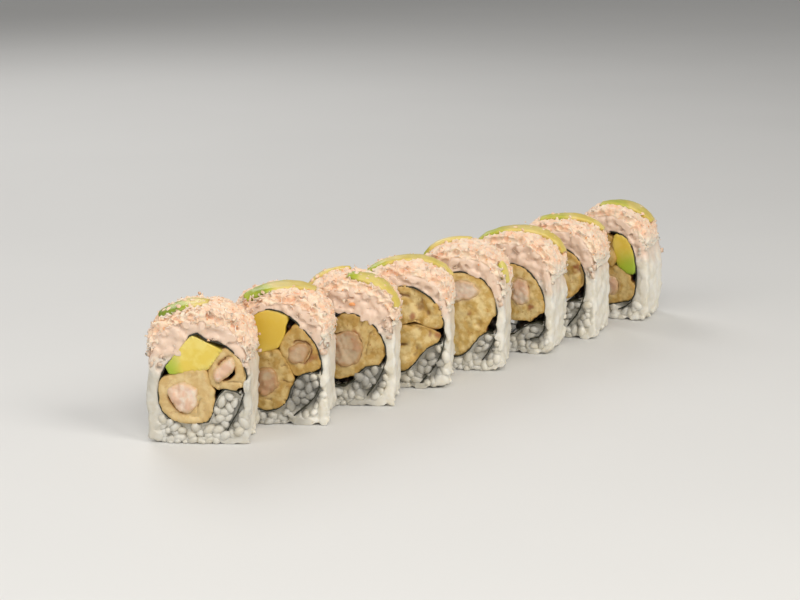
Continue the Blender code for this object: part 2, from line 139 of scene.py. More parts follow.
# Dark fried spots in the batter: u, z and reach
BURNT = {
    2: [(11.7, 23.2, 2.0), (-1.0, 14.0, 1.5)],
    3: [(2.7, 24.9, 1.8), (9.5, 13.0, 1.8)],
    4: [(11.8, 20.0, 3.0), (3.0, 26.0, 1.6)],
    5: [(4.0, 22.0, 1.2)],
    6: [(7.9, 19.0, 2.2), (11.0, 12.5, 1.5)],
    7: [(8.4, 27.8, 2.2), (11.0, 19.0, 1.5)],
    8: [(8.0, 24.0, 1.5)],
}

# The ways from a prawn in which the batter has come away from it
RIFTS = {
    "slice1_tempura_left": [(-0.75, -0.65)],
    "slice1_tempura_right": [(-0.35, 0.93), (0.8, -0.6)],
    "slice2_tempura_right": [(0.3, 0.95), (0.9, -0.4)],
}


# ---------------------------------------------------------------- meshes


def new_object(name, mesh):
    piece = bpy.data.objects.new(name, mesh)
    bpy.context.scene.collection.objects.link(piece)
    return piece


def new_mesh(name, points, faces):
    mesh = bpy.data.meshes.new(name)
    mesh.from_pydata(points.tolist(), [], faces.tolist() if isinstance(faces, np.ndarray) else faces)
    return mesh


def read(collection, key, width, kind=float):
    values = np.empty(len(collection) * width, dtype=kind)
    collection.foreach_get(key, values)
    return values.reshape(-1, width) if width > 1 else values


def merged(node):
    """Points and triangles of a solid of the frame, its doubles merged."""
    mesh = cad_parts[node].data
    mesh.calc_loop_triangles()
    points, number = np.unique(read(mesh.vertices, "co", 3), axis=0, return_inverse=True)
    triangles = number.reshape(-1)[read(mesh.loop_triangles, "vertices", 3, np.int32)]
    a, b, c = triangles.T
    return points, triangles[(a != b) & (b != c) & (c != a)]


def joined(*parts):
    """Several (points, triangles) as one."""
    points, triangles, start = [], [], 0
    for p, t in parts:
        points.append(p)
        triangles.append(t + start)
        start += len(p)
    return np.concatenate(points), np.concatenate(triangles)


def triangles_of(mesh):
    mesh.calc_loop_triangles()
    return read(mesh.vertices, "co", 3), read(mesh.loop_triangles, "vertices", 3, np.int32)


def evaluated(piece):
    """A plain mesh of a piece with its modifiers applied. The piece itself goes."""
    graph = bpy.context.evaluated_depsgraph_get()
    mesh = bpy.data.meshes.new_from_object(piece.evaluated_get(graph))
    old = piece.data
    bpy.data.objects.remove(piece)
    bpy.data.meshes.remove(old)
    return mesh


def fused(name, parts, size):
    """One closed surface of small even squares over everything given."""
    points, triangles = joined(*parts)
    piece = new_object(name, new_mesh(name, points, triangles))
    fuse = piece.modifiers.new("fuse", "REMESH")
    fuse.mode = "VOXEL"
    fuse.voxel_size = size * MM
    mesh = evaluated(piece)
    mesh.name = name
    return Skin(mesh)


class Skin:
    """A mesh's points as an array, with what it takes to smooth and to move them."""

    def __init__(self, mesh):
        self.mesh = mesh
        self.points = read(mesh.vertices, "co", 3)
        self.edges = read(mesh.edges, "vertices", 2, np.int32)
        ends = self.edges.ravel()
        self.count = np.maximum(np.bincount(ends, minlength=len(self.points)), 1)
        self.write()

    def write(self):
        self.mesh.vertices.foreach_set("co", self.points.ravel())
        self.mesh.update()
        self.normals = read(self.mesh.vertices, "normal", 3)

    def put(self, points):
        """Moves the points to these places."""
        self.points = points
        self.write()

    def averaged(self, values, times, share=0.5):
        """Values at the points, each drawn towards the mean of its neighbours."""
        a, b = self.edges.T
        values = values.astype(float).reshape(len(values), -1).copy()
        for _ in range(times):
            for k in range(values.shape[1]):
                total = np.bincount(a, weights=values[b, k], minlength=len(values))
                total += np.bincount(b, weights=values[a, k], minlength=len(values))
                values[:, k] += share * (total / self.count - values[:, k])
        return values if values.shape[1] > 1 else values[:, 0]

    def smooth(self, times, share=0.5):
        self.put(self.averaged(self.points, times, share))

    def push(self, amount):
        """Moves the points out along their normals, by millimetres."""
        self.put(self.points + self.normals * (np.asarray(amount) * MM).reshape(-1, 1))

    def hollow(self, times):
        """How deep each point lies below the smoothed surface, in millimetres."""
        smooth = self.averaged(self.points, times)
        return ((smooth - self.points) * self.normals).sum(axis=1) / MM

    def mark(self, name, values):
        """Keeps a value at each point for the materials."""
        field = self.mesh.attributes.new(name, "FLOAT", "POINT")
        field.data.foreach_set("value", np.asarray(values, dtype=np.float32))


def soft_noise(points, size, seed):
    """A smooth random field over places in metres, from −1 to 1, with swells this many millimetres apart."""
    table = np.random.default_rng(seed).uniform(-1, 1, (32, 32, 32))
    where = points / (MM * size)
    low = np.floor(where).astype(int)
    share = where - low
    share = share * share * (3 - 2 * share)
    total = np.zeros(len(points))
    for corner in range(8):
        bits = np.array([corner & 1, corner >> 1 & 1, corner >> 2 & 1])
        weight = np.where(bits, share, 1 - share).prod(axis=1)
        i, j, k = ((low + bits) % 32).T
        total += weight * table[i, j, k]
    return total


def step_between(low, high, values):
    """0 below the lower edge, 1 above the higher one, and smooth between."""
    share = np.clip((values - low) / (high - low), 0, 1)
    return share * share * (3 - 2 * share)


# ---------------------------------------------------------------- geometry nodes


def node_tree(name, kind, inputs, outputs):
    """A tree with named inputs and outputs, and the nodes that carry them."""
    tree = bpy.data.node_groups.new(name, kind)
    for side, sockets in (("INPUT", inputs), ("OUTPUT", outputs)):
        for label, socket_kind, *default in sockets:
            socket = tree.interface.new_socket(label, in_out=side, socket_type="NodeSocket" + socket_kind)
            if default:
                socket.default_value = default[0]
    return tree, tree.nodes.new("NodeGroupInput"), tree.nodes.new("NodeGroupOutput")


def add(tree, kind, settings=None, **inputs):
    """A node of this kind. An input is a value, or the socket that feeds it."""
    node = tree.nodes.new(kind)
    for key, value in (settings or {}).items():
        setattr(node, key, value)
    for label, value in inputs.items():
        wanted = label.replace("_", " ").lower()
        if wanted.isdigit():
            socket = node.inputs[int(wanted)]
        else:
            socket = next(s for s in node.inputs if s.enabled and s.name.lower() == wanted)
        feed(tree, value, socket)
    return node


def feed(tree, value, socket):
    if isinstance(value, bpy.types.NodeSocket):
        tree.links.new(value, socket)
    else:
        socket.default_value = value


def out(node, name):
    """The output of this name that is in use."""
    return next(s for s in node.outputs if s.enabled and s.name == name)


def times(tree, a, b, operation="MULTIPLY"):
    return add(tree, "ShaderNodeMath", {"operation": operation}, **{"0": a, "1": b}).outputs[0]


SCATTER_INPUTS = [
    ("Surface", "Geometry"),
    ("Length", "Float", 5.0 * MM),
    ("Width", "Float", 2.5 * MM),
    ("Height", "Float", 2.5 * MM),
    ("Spacing", "Float", 2.4 * MM),
    ("Crowding", "Float", 1.0),
    ("Sunk", "Float", 1.0 * MM),
    ("Tilt", "Float", 0.5),
    ("Smallest", "Float", 0.8),
    ("Largest", "Float", 1.15),
    ("Seed", "Int", 1),
    ("Finish", "Material"),
]


def scatter_tree(name, shape):
    """Spreads a small shape over a surface. The shape's maker gets the tree and its inputs."""
    tree, given, result = node_tree(name, "GeometryNodeTree", SCATTER_INPUTS, [("Pieces", "Geometry")])
    ask = {socket.name: socket for socket in given.outputs}
    density = times(tree, times(tree, ask["Spacing"], -2.0, "POWER"), ask["Crowding"])
    spread = add(
        tree, "GeometryNodeDistributePointsOnFaces", {"distribute_method": "POISSON"},
        Mesh=ask["Surface"], Distance_Min=ask["Spacing"], Density_Max=density, Seed=ask["Seed"],
    )
    offset = add(
        tree, "ShaderNodeVectorMath", {"operation": "SCALE"},
        Vector=spread.outputs["Normal"], Scale=times(tree, ask["Sunk"], -1.0),
    )
    placed = add(tree, "GeometryNodeSetPosition", Geometry=spread.outputs["Points"], Offset=offset.outputs[0])
    back = times(tree, ask["Tilt"], -1.0)
    least = add(tree, "ShaderNodeCombineXYZ", X=back, Y=back, Z=0.0)
    most = add(tree, "ShaderNodeCombineXYZ", X=ask["Tilt"], Y=ask["Tilt"], Z=2 * math.pi)
    chance = add(
        tree, "FunctionNodeRandomValue", {"data_type": "FLOAT_VECTOR"},
        Min=least.outputs[0], Max=most.outputs[0], Seed=ask["Seed"],
    )
    turn = add(tree, "FunctionNodeEulerToRotation", Euler=out(chance, "Value"))
    turned = add(
        tree, "FunctionNodeRotateRotation", {"rotation_space": "LOCAL"},
        Rotation=spread.outputs["Rotation"], Rotate_By=turn.outputs[0],
    )
    size = add(
        tree, "FunctionNodeRandomValue", {"data_type": "FLOAT"},
        Min=ask["Smallest"], Max=ask["Largest"], Seed=ask["Seed"],
    )
    instances = add(
        tree, "GeometryNodeInstanceOnPoints", Points=placed.outputs[0],
        Instance=shape(tree, ask), Rotation=turned.outputs[0], Scale=out(size, "Value"),
    )
    real = add(tree, "GeometryNodeRealizeInstances", Geometry=instances.outputs[0])
    finish = add(tree, "GeometryNodeSetMaterial", Geometry=real.outputs[0], Material=ask["Finish"])
    tree.links.new(finish.outputs[0], result.inputs[0])
    return tree


GRAIN_SEGMENTS, GRAIN_RINGS = 8, 5
GRAIN_POINTS = GRAIN_SEGMENTS * (GRAIN_RINGS - 1) + 2


def rounded_grain(tree, ask):
    """A long rounded body, wider than it is high."""
    ball = add(tree, "GeometryNodeMeshUVSphere", Segments=GRAIN_SEGMENTS, Rings=GRAIN_RINGS, Radius=0.5)
    size = add(tree, "ShaderNodeCombineXYZ", X=ask["Length"], Y=ask["Width"], Z=ask["Height"])
    return add(tree, "GeometryNodeTransform", Geometry=ball.outputs["Mesh"], Scale=size.outputs[0]).outputs[0]


def bent_shred(tree, ask):
    """A strand that bends to one side."""
    start = add(tree, "ShaderNodeCombineXYZ", X=times(tree, ask["Length"], -0.5))
    middle = add(tree, "ShaderNodeCombineXYZ", Y=times(tree, ask["Length"], 0.25))
    end = add(tree, "ShaderNodeCombineXYZ", X=times(tree, ask["Length"], 0.5))
    line = add(
        tree, "GeometryNodeCurveQuadraticBezier",
        Resolution=5, Start=start.outputs[0], Middle=middle.outputs[0], End=end.outputs[0],
    )
    ring = add(tree, "GeometryNodeCurvePrimitiveCircle", Resolution=5, Radius=times(tree, ask["Width"], 0.5))
    return add(
        tree, "GeometryNodeCurveToMesh",
        Curve=line.outputs[0], Profile_Curve=ring.outputs[0], Fill_Caps=True,
    ).outputs[0]


GRAIN_TREE = scatter_tree("Spread grains", rounded_grain)
SHRED_TREE = scatter_tree("Spread shreds", bent_shred)


def scattered(name, tree, surface, seed, finish=None, **sizes):
    """A plain mesh of small shapes spread over a surface. Sizes are in millimetres."""
    points, triangles = surface
    piece = new_object(name, new_mesh(name, points, triangles))
    spread = piece.modifiers.new("spread", "NODES")
    spread.node_group = tree
    socket = {item.name: item.identifier for item in tree.interface.items_tree if item.in_out == "INPUT"}
    for label, value in sizes.items():
        scale = 1.0 if label in ("Crowding", "Tilt", "Smallest", "Largest") else MM
        spread[socket[label]] = float(value) * scale
    spread[socket["Seed"]] = seed
    if finish is not None:
        spread[socket["Finish"]] = finish
    mesh = evaluated(piece)
    mesh.name = name
    return mesh


def faces_where(part, keep):
    """Only the triangles of a solid for which keep says yes."""
    points, triangles = part
    return points, triangles[keep]


def face_facts(part, cut):
    """Middle and outward direction of each triangle, in the slice's own frame."""
    points, triangles = part
    local = cut.local(points)
    a, b, c = (local[triangles[:, k]] for k in range(3))
    # The slice's own frame is left-handed against the row's, so the cross product is turned round
    normal = np.cross(c - a, b - a)
    if flipped(cut):
        normal = -normal
    normal /= np.linalg.norm(normal, axis=1, keepdims=True) + 1e-12
    return (a + b + c) / 3, normal


def flipped(cut):
    """Whether u, v and z make a right-handed frame."""
    return cut.right[0] * cut.into[1] - cut.right[1] * cut.into[0] > 0


# ---------------------------------------------------------------- materials


def shader_group(name, inputs, outputs, build):
    tree, given, result = node_tree(name, "ShaderNodeTree", inputs, outputs)
    ask = {socket.name: socket for socket in given.outputs}
    for label, value in build(tree, ask).items():
        tree.links.new(value, result.inputs[label])
    return tree


def noise_of(tree, scale, detail=3.0, rough=0.55, vector=None):
    """Noise over the piece, its scale in swells a metre."""
    if vector is None:
        vector = add(tree, "ShaderNodeTexCoord").outputs["Object"]
    noise = add(tree, "ShaderNodeTexNoise", Vector=vector, Scale=scale, Detail=detail, Roughness=rough)
    return noise.outputs["Fac"]


def ramp(tree, value, low, high, to_low=0.0, to_high=1.0):
    return add(
        tree, "ShaderNodeMapRange", {"interpolation_type": "SMOOTHSTEP"},
        Value=value, From_Min=low, From_Max=high, To_Min=to_low, To_Max=to_high,
    ).outputs[0]


def mixed(tree, share, first, second, blend="MIX"):
    node = tree.nodes.new("ShaderNodeMix")
    node.data_type = "RGBA"
    node.blend_type = blend
    for value, index in ((share, 0), (first, 6), (second, 7)):
        if isinstance(value, tuple):
            value = (*value, 1.0)
        feed(tree, value, node.inputs[index])
    return node.outputs[2]


def marked(tree, name):
    """A value kept at the piece's points."""
    return add(tree, "ShaderNodeAttribute", {"attribute_name": name}).outputs["Fac"]


def build_blotches(tree, ask):
    broad = noise_of(tree, ask["Broad scale"], 3.0)
    fine = noise_of(tree, ask["Fine scale"], 4.0, 0.65)
    first = mixed(tree, ramp(tree, broad, 0.38, 0.62), ask["Colour"], ask["Second colour"])
    speck = ramp(tree, fine, ask["Speck from"], ask["Speck to"])
    return {"Colour": mixed(tree, speck, first, ask["Speck colour"]), "Grain": fine}


BLOTCHES = shader_group(
    "Blotches and specks",
    [
        ("Colour", "Color"), ("Second colour", "Color"), ("Speck colour", "Color"),
        ("Broad scale", "Float", 300.0), ("Fine scale", "Float", 1500.0),
        ("Speck from", "Float", 0.62), ("Speck to", "Float", 0.70),
    ],
    [("Colour", "Color"), ("Grain", "Float")],
    build_blotches,
)


# Painted shade: darkens the colour where the surface lies in a hollow, where shade falls
def build_crevice_shade(tree, ask):
    deep = ramp(tree, marked(tree, "hollow"), ask["Shallow"], ask["Deep"])
    share = times(tree, deep, ask["Strength"])
    return {"Colour": mixed(tree, share, ask["Colour"], ask["Crevice colour"])}


CREVICE_SHADE = shader_group(
    "Painted crevice shade",
    [
        ("Colour", "Color"), ("Crevice colour", "Color"),
        ("Shallow", "Float", 0.05), ("Deep", "Float", 0.5), ("Strength", "Float", 0.6),
    ],
    [("Colour", "Color")],
    build_crevice_shade,
)


def build_fibres(tree, ask):
    place = add(tree, "ShaderNodeTexCoord").outputs["Object"]
    turned = add(tree, "ShaderNodeMapping", Vector=place, Rotation=(0.5, 0.7, 0.3), Scale=(1.0, 0.22, 1.0))
    streak = noise_of(tree, ask["Scale"], 3.0, 0.6, turned.outputs[0])
    grain = noise_of(tree, ask["Grain scale"], 2.0)
    return {"Height": times(tree, streak, times(tree, grain, 0.5), "ADD"), "Streak": streak}


FIBRES = shader_group(
    "Fibres and grain",
    [("Scale", "Float", 900.0), ("Grain scale", "Float", 2500.0)],
    [("Height", "Float"), ("Streak", "Float")],
    build_fibres,
)


def use(tree, group, **inputs):
    node = tree.nodes.new("ShaderNodeGroup")
    node.node_tree = group
    for label, value in inputs.items():
        socket = next(s for s in node.inputs if s.name.lower() == label.replace("_", " ").lower())
        if isinstance(value, tuple):
            value = (*value, 1.0)
        feed(tree, value, socket)
    return node


def material(name, roughness, coat=0.0, sub=0.0, radius=(1.0, 1.0, 1.0), sub_scale=1.0):
    """A material and its shader. The radius of the light that comes back out is in millimetres."""
    finish = bpy.data.materials.new(name)
    finish.use_nodes = True
    tree = finish.node_tree
    shader = tree.nodes["Principled BSDF"]
    shader.inputs["Roughness"].default_value = roughness
    shader.inputs["Coat Weight"].default_value = coat
    shader.inputs["Coat Roughness"].default_value = 0.25
    shader.inputs["Subsurface Weight"].default_value = sub
    shader.inputs["Subsurface Radius"].default_value = radius
    shader.inputs["Subsurface Scale"].default_value = sub_scale * MM
    return finish, tree, shader


def bump(tree, shader, height, strength, distance):
    node = add(tree, "ShaderNodeBump", Strength=strength, Distance=distance * MM, Height=height)
    tree.links.new(node.outputs[0], shader.inputs["Normal"])


def blotched(tree, colours, broad, fine, speck):
    """Two blotched colours and specks of a third. Scales are in swells a metre."""
    base = use(
        tree, BLOTCHES, Colour=colours[0], Second_colour=colours[1], Speck_colour=colours[2],
        Broad_scale=broad, Fine_scale=fine, Speck_from=speck[0], Speck_to=speck[1],
    )
    return base.outputs["Colour"]


def laid_over(tree, colour, *layers):
    """Lays colours over a colour, each where the piece is marked for it."""
    for mark, over in layers:
        colour = mixed(tree, marked(tree, mark), colour, over)
    return colour


def fibrous(tree, shader, scale, grain_scale, strength, distance):
    """Fine relief of fibres and grain."""
    fibres = use(tree, FIBRES, Scale=scale, Grain_scale=grain_scale)
    bump(tree, shader, fibres.outputs["Height"], strength, distance)


def rice_material():
    finish, tree, shader = material(
        "sticky rice", 0.42, coat=0.15, sub=0.35, radius=(1.0, 0.9, 0.75), sub_scale=1.6)
    colours = (0.80, 0.74, 0.60), (0.86, 0.82, 0.72), (0.66, 0.58, 0.42)
    base = blotched(tree, colours, 260.0, 1300.0, (0.66, 0.74))
    toned = mixed(tree, ramp(tree, marked(tree, "tone"), 0.0, 1.0, 0.0, 0.35), base, (0.93, 0.93, 0.90))
    # Wet grey rice with painted shade in the pocket and low down, then the salad's pink stain
    stained_and_shaded = laid_over(tree, toned, ("wet_and_shade", (0.22, 0.215, 0.195)), ("pink", (0.80, 0.58, 0.44)))
    # Painted shade in the rice's hollows
    colour = use(
        tree, CREVICE_SHADE, Colour=stained_and_shaded, Crevice_colour=(0.22, 0.16, 0.11), Shallow=0.06, Deep=0.5, Strength=0.75)
    tree.links.new(colour.outputs[0], shader.inputs["Base Color"])
    fibrous(tree, shader, 700.0, 2600.0, 0.25, 0.25)
    return finish


def crab_material():
    finish, tree, shader = material("crab salad", 0.5, coat=0.08, sub=0.3, radius=(1.2, 0.8, 0.6), sub_scale=1.4)
    colours = (0.94, 0.59, 0.39), (0.95, 0.73, 0.54), (0.80, 0.32, 0.12)
    base = blotched(tree, colours, 260.0, 480.0, (0.62, 0.69))
    toned = mixed(tree, ramp(tree, marked(tree, "tone"), 0.2, 1.0, 0.0, 0.65), base, (0.96, 0.80, 0.65))
    faded = laid_over(tree, toned, ("low", (0.70, 0.50, 0.36)), ("fade", (0.85, 0.76, 0.63)))
    # Painted shade in the salad's hollows
    colour = use(
        tree, CREVICE_SHADE, Colour=faded, Crevice_colour=(0.66, 0.30, 0.15), Shallow=0.10, Deep=0.55, Strength=0.45)
    tree.links.new(colour.outputs[0], shader.inputs["Base Color"])
    fibrous(tree, shader, 1500.0, 3200.0, 0.35, 0.3)
    return finish


def strewn_material(name, colours, broad, fine):
    """A material for small things strewn about."""
    finish, tree, shader = material(name, 0.45, coat=0.05, sub=0.2, radius=(1.0, 0.7, 0.5), sub_scale=1.0)
    tree.links.new(blotched(tree, colours, broad, fine, (0.62, 0.70)), shader.inputs["Base Color"])
    fibrous(tree, shader, 1400.0, 3000.0, 0.3, 0.2)
    return finish


def tempura_material():
    finish, tree, shader = material(
        "tempura batter", 0.55, coat=0.12, sub=0.15, radius=(1.0, 0.7, 0.4), sub_scale=1.0)
    colours = (0.61, 0.40, 0.11), (0.81, 0.64, 0.31), (0.48, 0.24, 0.05)
    base = blotched(tree, colours, 300.0, 520.0, (0.58, 0.74))
    pale = laid_over(tree, base, ("pale", (0.80, 0.61, 0.36)))
    # Painted shade: the batter darkened as far as shade falls on its slice
    painted_shade = mixed(tree, marked(tree, "painted_shade"), pale, (0.47, 0.35, 0.11), "MULTIPLY")
    # The rim and the red-brown inside are the batter's own colours; the near-black deep inside is painted shade
    fried_and_shaded = laid_over(
        tree, painted_shade,
        ("rim", (0.52, 0.31, 0.07)), ("inside", (0.30, 0.08, 0.02)), ("deep", (0.02, 0.012, 0.008)))
    # Painted shade in the batter's hollows
    colour = use(
        tree, CREVICE_SHADE, Colour=fried_and_shaded, Crevice_colour=(0.24, 0.11, 0.03), Shallow=0.08, Deep=0.55, Strength=0.8)
    tree.links.new(colour.outputs[0], shader.inputs["Base Color"])
    fibrous(tree, shader, 1300.0, 2800.0, 0.35, 0.3)
    return finish


def prawn_material():
    finish, tree, shader = material("cooked prawn", 0.38, coat=0.2, sub=0.4, radius=(1.2, 0.7, 0.5), sub_scale=1.6)
    colours = (0.80, 0.54, 0.39), (0.90, 0.79, 0.68), (0.80, 0.30, 0.10)
    base = blotched(tree, colours, 210.0, 480.0, (0.68, 0.76))
    rim = laid_over(tree, base, ("rim", (0.74, 0.52, 0.30)))
    # Painted shade: the prawn darkened as far as shade falls on its slice
    painted_shade = mixed(tree, marked(tree, "painted_shade"), rim, (0.46, 0.33, 0.14), "MULTIPLY")
    tree.links.new(painted_shade, shader.inputs["Base Color"])
    fibrous(tree, shader, 800.0, 2200.0, 0.25, 0.25)
    return finish


def avocado_material(name, flesh, pale, green, skin, roughness=0.36):
    finish, tree, shader = material(name, roughness, coat=0.1, sub=0.25, radius=(0.9, 1.0, 0.3), sub_scale=1.4)
    bruise = tuple(0.75 * part for part in flesh)
    overripe = tuple(part * share for part, share in zip(flesh, (0.84, 0.72, 0.35)))
    base = blotched(tree, (flesh, pale, bruise), 180.0, 800.0, (0.68, 0.80))
    ripe = laid_over(tree, base, ("ripe", overripe))
    greener = mixed(tree, ramp(tree, marked(tree, "green"), 0.15, 0.75), ripe, green)
    colour = mixed(tree, ramp(tree, marked(tree, "green"), 0.72, 0.98), greener, skin)
    tree.links.new(colour, shader.inputs["Base Color"])
    fibrous(tree, shader, 600.0, 1800.0, 0.2, 0.2)
    return finish


def nori_material():
    finish, tree, shader = material("nori", 0.5, coat=0.1)
    base = use(
        tree, BLOTCHES,
        Colour=(0.016, 0.016, 0.008), Second_colour=(0.032, 0.032, 0.014), Speck_colour=(0.06, 0.04, 0.015),
        Broad_scale=400.0, Fine_scale=1500.0, Speck_from=0.6, Speck_to=0.7,
    )
    tree.links.new(base.outputs["Colour"], shader.inputs["Base Color"])
    bump(tree, shader, base.outputs["Grain"], 0.6, 0.3)
    return finish


FLECK_COLOURS = (0.80, 0.33, 0.12), (0.86, 0.48, 0.22), (0.58, 0.16, 0.04)
SHRED_COLOURS = (0.93, 0.72, 0.58), (0.95, 0.84, 0.74), (0.90, 0.52, 0.34)

FINISH = {
    "rice": rice_material(),
    "crab": crab_material(),
    "fleck": strewn_material("orange flecks", FLECK_COLOURS, 500.0, 1500.0),
    "shred": strewn_material("pale shreds", SHRED_COLOURS, 300.0, 900.0),
    "tempura": tempura_material(),
    "prawn": prawn_material(),
    "avocado": avocado_material(
        "cut avocado", (0.78, 0.60, 0.10), (0.84, 0.70, 0.20), (0.36, 0.48, 0.03), (0.16, 0.34, 0.01)),
    "strip": avocado_material(
        "avocado slices", (0.72, 0.56, 0.13), (0.80, 0.66, 0.24), (0.42, 0.47, 0.02), (0.17, 0.25, 0.008), 0.42),
    "nori": nori_material(),
}


# ---------------------------------------------------------------- pieces


def finished(mesh, finish, slot, *nodes):
    """Makes a mesh a piece of the roll, in place of these solids."""
    mesh.materials.clear()
    mesh.materials.append(FINISH[finish])
    mesh.polygons.foreach_set("use_smooth", [True] * len(mesh.polygons))
    piece = new_object(mesh.name, mesh)
    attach(piece, "root")
    if nodes:
        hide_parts(*nodes)
    return piece


# How far the topping sinks at a cut face, and how far in from it that begins, in millimetres
EDGE_DROP, EDGE_REACH = 1.9, 5.5

# The height that the salad's outer side is rounded about, in millimetres
CROWN = 18.0


def depth_of(local):
    """How far each place lies from the nearer cut face, in millimetres."""
    return np.minimum(local[:, 1], THICK - local[:, 1])


def size_of(shape):
    """The inputs that give a strewn shape its size."""
    return dict(zip(("Length", "Width", "Height"), shape))


def nearest_tone(points, grains, size, seed):
    """For each point, the chance value of the grain that lies nearest."""
    tree = kdtree.KDTree(len(grains))
    for number, place in enumerate(grains):
        tree.insert(place, number)
    tree.balance()
    found = np.array([tree.find(p)[1] for p in points])
    tones = np.random.default_rng(seed).uniform(0, 1, len(grains) // size + 1)
    return tones[found // size]


def drawn_in(cut, local):
    """Moves places in a slice's frame to where a flat filling draws the nori in."""
    moved = local.copy()
    for centre, move, reach in DRAWN_IN.get(cut.number, []):
        share = np.exp(-((local[:, [0, 2]] - centre) ** 2).sum(axis=1) / reach**2)
        moved[:, 0] += share * move[0]
        moved[:, 2] += share * move[1]
    return moved


def fall_away(local):
    """How far the topping sinks towards the two cut faces, in millimetres."""
    return EDGE_DROP * (1 - np.clip(depth_of(local) / EDGE_REACH, 0, 1)) ** 2


def cut_flush(cut, skin, drift=0.12, proud=0.0):
    """Cuts the piece off at its two cut planes, and at the ground it stands on."""
    local = drawn_in(cut, cut.local(skin.points))
    wave = soft_noise(skin.points, 4.0, 71) * drift
    local[:, 1] = np.clip(local[:, 1], 0.05 - proud + wave, THICK - 0.05 + proud + wave)
    local[:, 2] = np.maximum(local[:, 2], 0.0)
    skin.put(cut.place(local))


def outline_of(cut, nodes):
    """Where the sides of some solids stand in the cut plane, as u and z."""
    spots = []
    for node in nodes:
        skin = fused("sides", [merged(node)], SIDES_MESH)
        local, facing = cut.seen(skin)
        between = (local[:, 1] > 2.0) & (local[:, 1] < 5.0) & (np.abs(facing[:, 1]) < 0.5)
        spots.append(drawn_in(cut, local[between])[:, [0, 2]])
        bpy.data.meshes.remove(skin.mesh)
    return np.concatenate(spots) if spots else np.zeros((0, 2))


def distance_to(spots, flat, none=99.0):
    """How far each place in the cut plane lies from the nearest of some spots, in millimetres."""
    if not len(spots):
        return np.full(len(flat), none)
    tree = kdtree.KDTree(len(spots))
    for number, (u, z) in enumerate(spots):
        tree.insert((u, z, 0.0), number)
    tree.balance()
    return np.array([tree.find((u, z, 0.0))[2] for u, z in flat])


def small_triangles(skin, keep):
    """The triangles of a skin whose first corner is to be kept."""
    points, triangles = triangles_of(skin.mesh)
    return points, triangles[keep[triangles[:, 0]]]


# Up to which height whole grains show along the foot, and how far to the right there, in millimetres
FOOT_HEIGHT = 8.5
FOOT_REACH = {1: 6.0}
SHORT_FOOT_REACH = 3.0


def pocket_share(cut, local):
    """How far out from the middle of the pocket each place lies, as a share of the pocket's half size."""
    u, z, reach, rise = cut.pocket
    return np.hypot((local[:, 0] - u) / reach, (local[:, 2] - z) / rise)


def whole_grains_at(cut, local):
    """Whether whole grains show there: in the pocket, and along the foot beside it."""
    foot_end = FOOT_REACH.get(cut.number, SHORT_FOOT_REACH)
    foot = (local[:, 2] < FOOT_HEIGHT) & (local[:, 0] > -cut.width / 2 + 5.0) & (local[:, 0] < foot_end)
    return (pocket_share(cut, local) < 1.15) | foot


def mark_rice(cut, skin, tones, seed, wetness_and_shade):
    """Tells the rice's finish where the grains are wet and darkened by painted shade, and where the salad has
    tinted them.
    """
    local = cut.local(skin.points)
    away = pocket_share(cut, local) + 0.08 * soft_noise(skin.points, 3, seed)
    near_cut = step_between(5.0, 1.0, depth_of(local))
    # Painted shade along the lower middle of the cut face
    low = 0.6 * step_between(9.5, 6.5, local[:, 2] + 0.8 * soft_noise(skin.points, 4, seed + 7))
    low *= step_between(0.8, 0.4, np.abs(local[:, 0]) * 2 / cut.width)
    # Grey of translucent rice on the cut faces under the band, stronger on slice 1 as painted shade on its front
    # face
    clear_rice_and_shade = (0.35 if cut.number == 1 else 0.12) * step_between(30.0, 22.0, local[:, 2])
    # The pocket's rice: its own wet grey, deepened per slice by painted shade
    wet_and_shade = wetness_and_shade * np.maximum(1 - step_between(0.8, 1.15, away), low)
    skin.mark("wet_and_shade", np.maximum(wet_and_shade, clear_rice_and_shade) * near_cut)
    high = local[:, 2] + 3.0 * soft_noise(skin.points, 4, seed + 5)
    on_cut, on_wall = 0.85 * step_between(22.0, 31.0, high), 0.5 * step_between(19.0, 30.0, high)
    skin.mark("pink", on_cut * near_cut + on_wall * (1 - near_cut))
    skin.mark("hollow", skin.hollow(8))
    skin.mark("tone", tones)


def keep_over_nori(cut, skin, nori_spots, least=1.2):
    """Lifts the outer wall where less than this is left over the nori, in millimetres."""
    local, facing = cut.seen(skin)
    outer = (facing[:, 0] * np.sign(local[:, 0]) > 0.4) & (np.abs(local[:, 0]) > cut.width / 2 - 4.0)
    short = np.zeros(len(local))
    short[outer] = np.clip(least - distance_to(nori_spots, local[outer][:, [0, 2]]), 0, least)
    skin.push(skin.averaged(short, 2) * outer)


# How the core of rice is moved before grains go on it, in millimetres: out against the nori, in under
# the grains, in where whole grains are packed on it, and in along the band over the nori
CORE_OUT, CORE_IN = 0.65, 1.6
WHOLE_IN = 1.25
BAND_IN, BAND_FROM = 0.75, 22.0


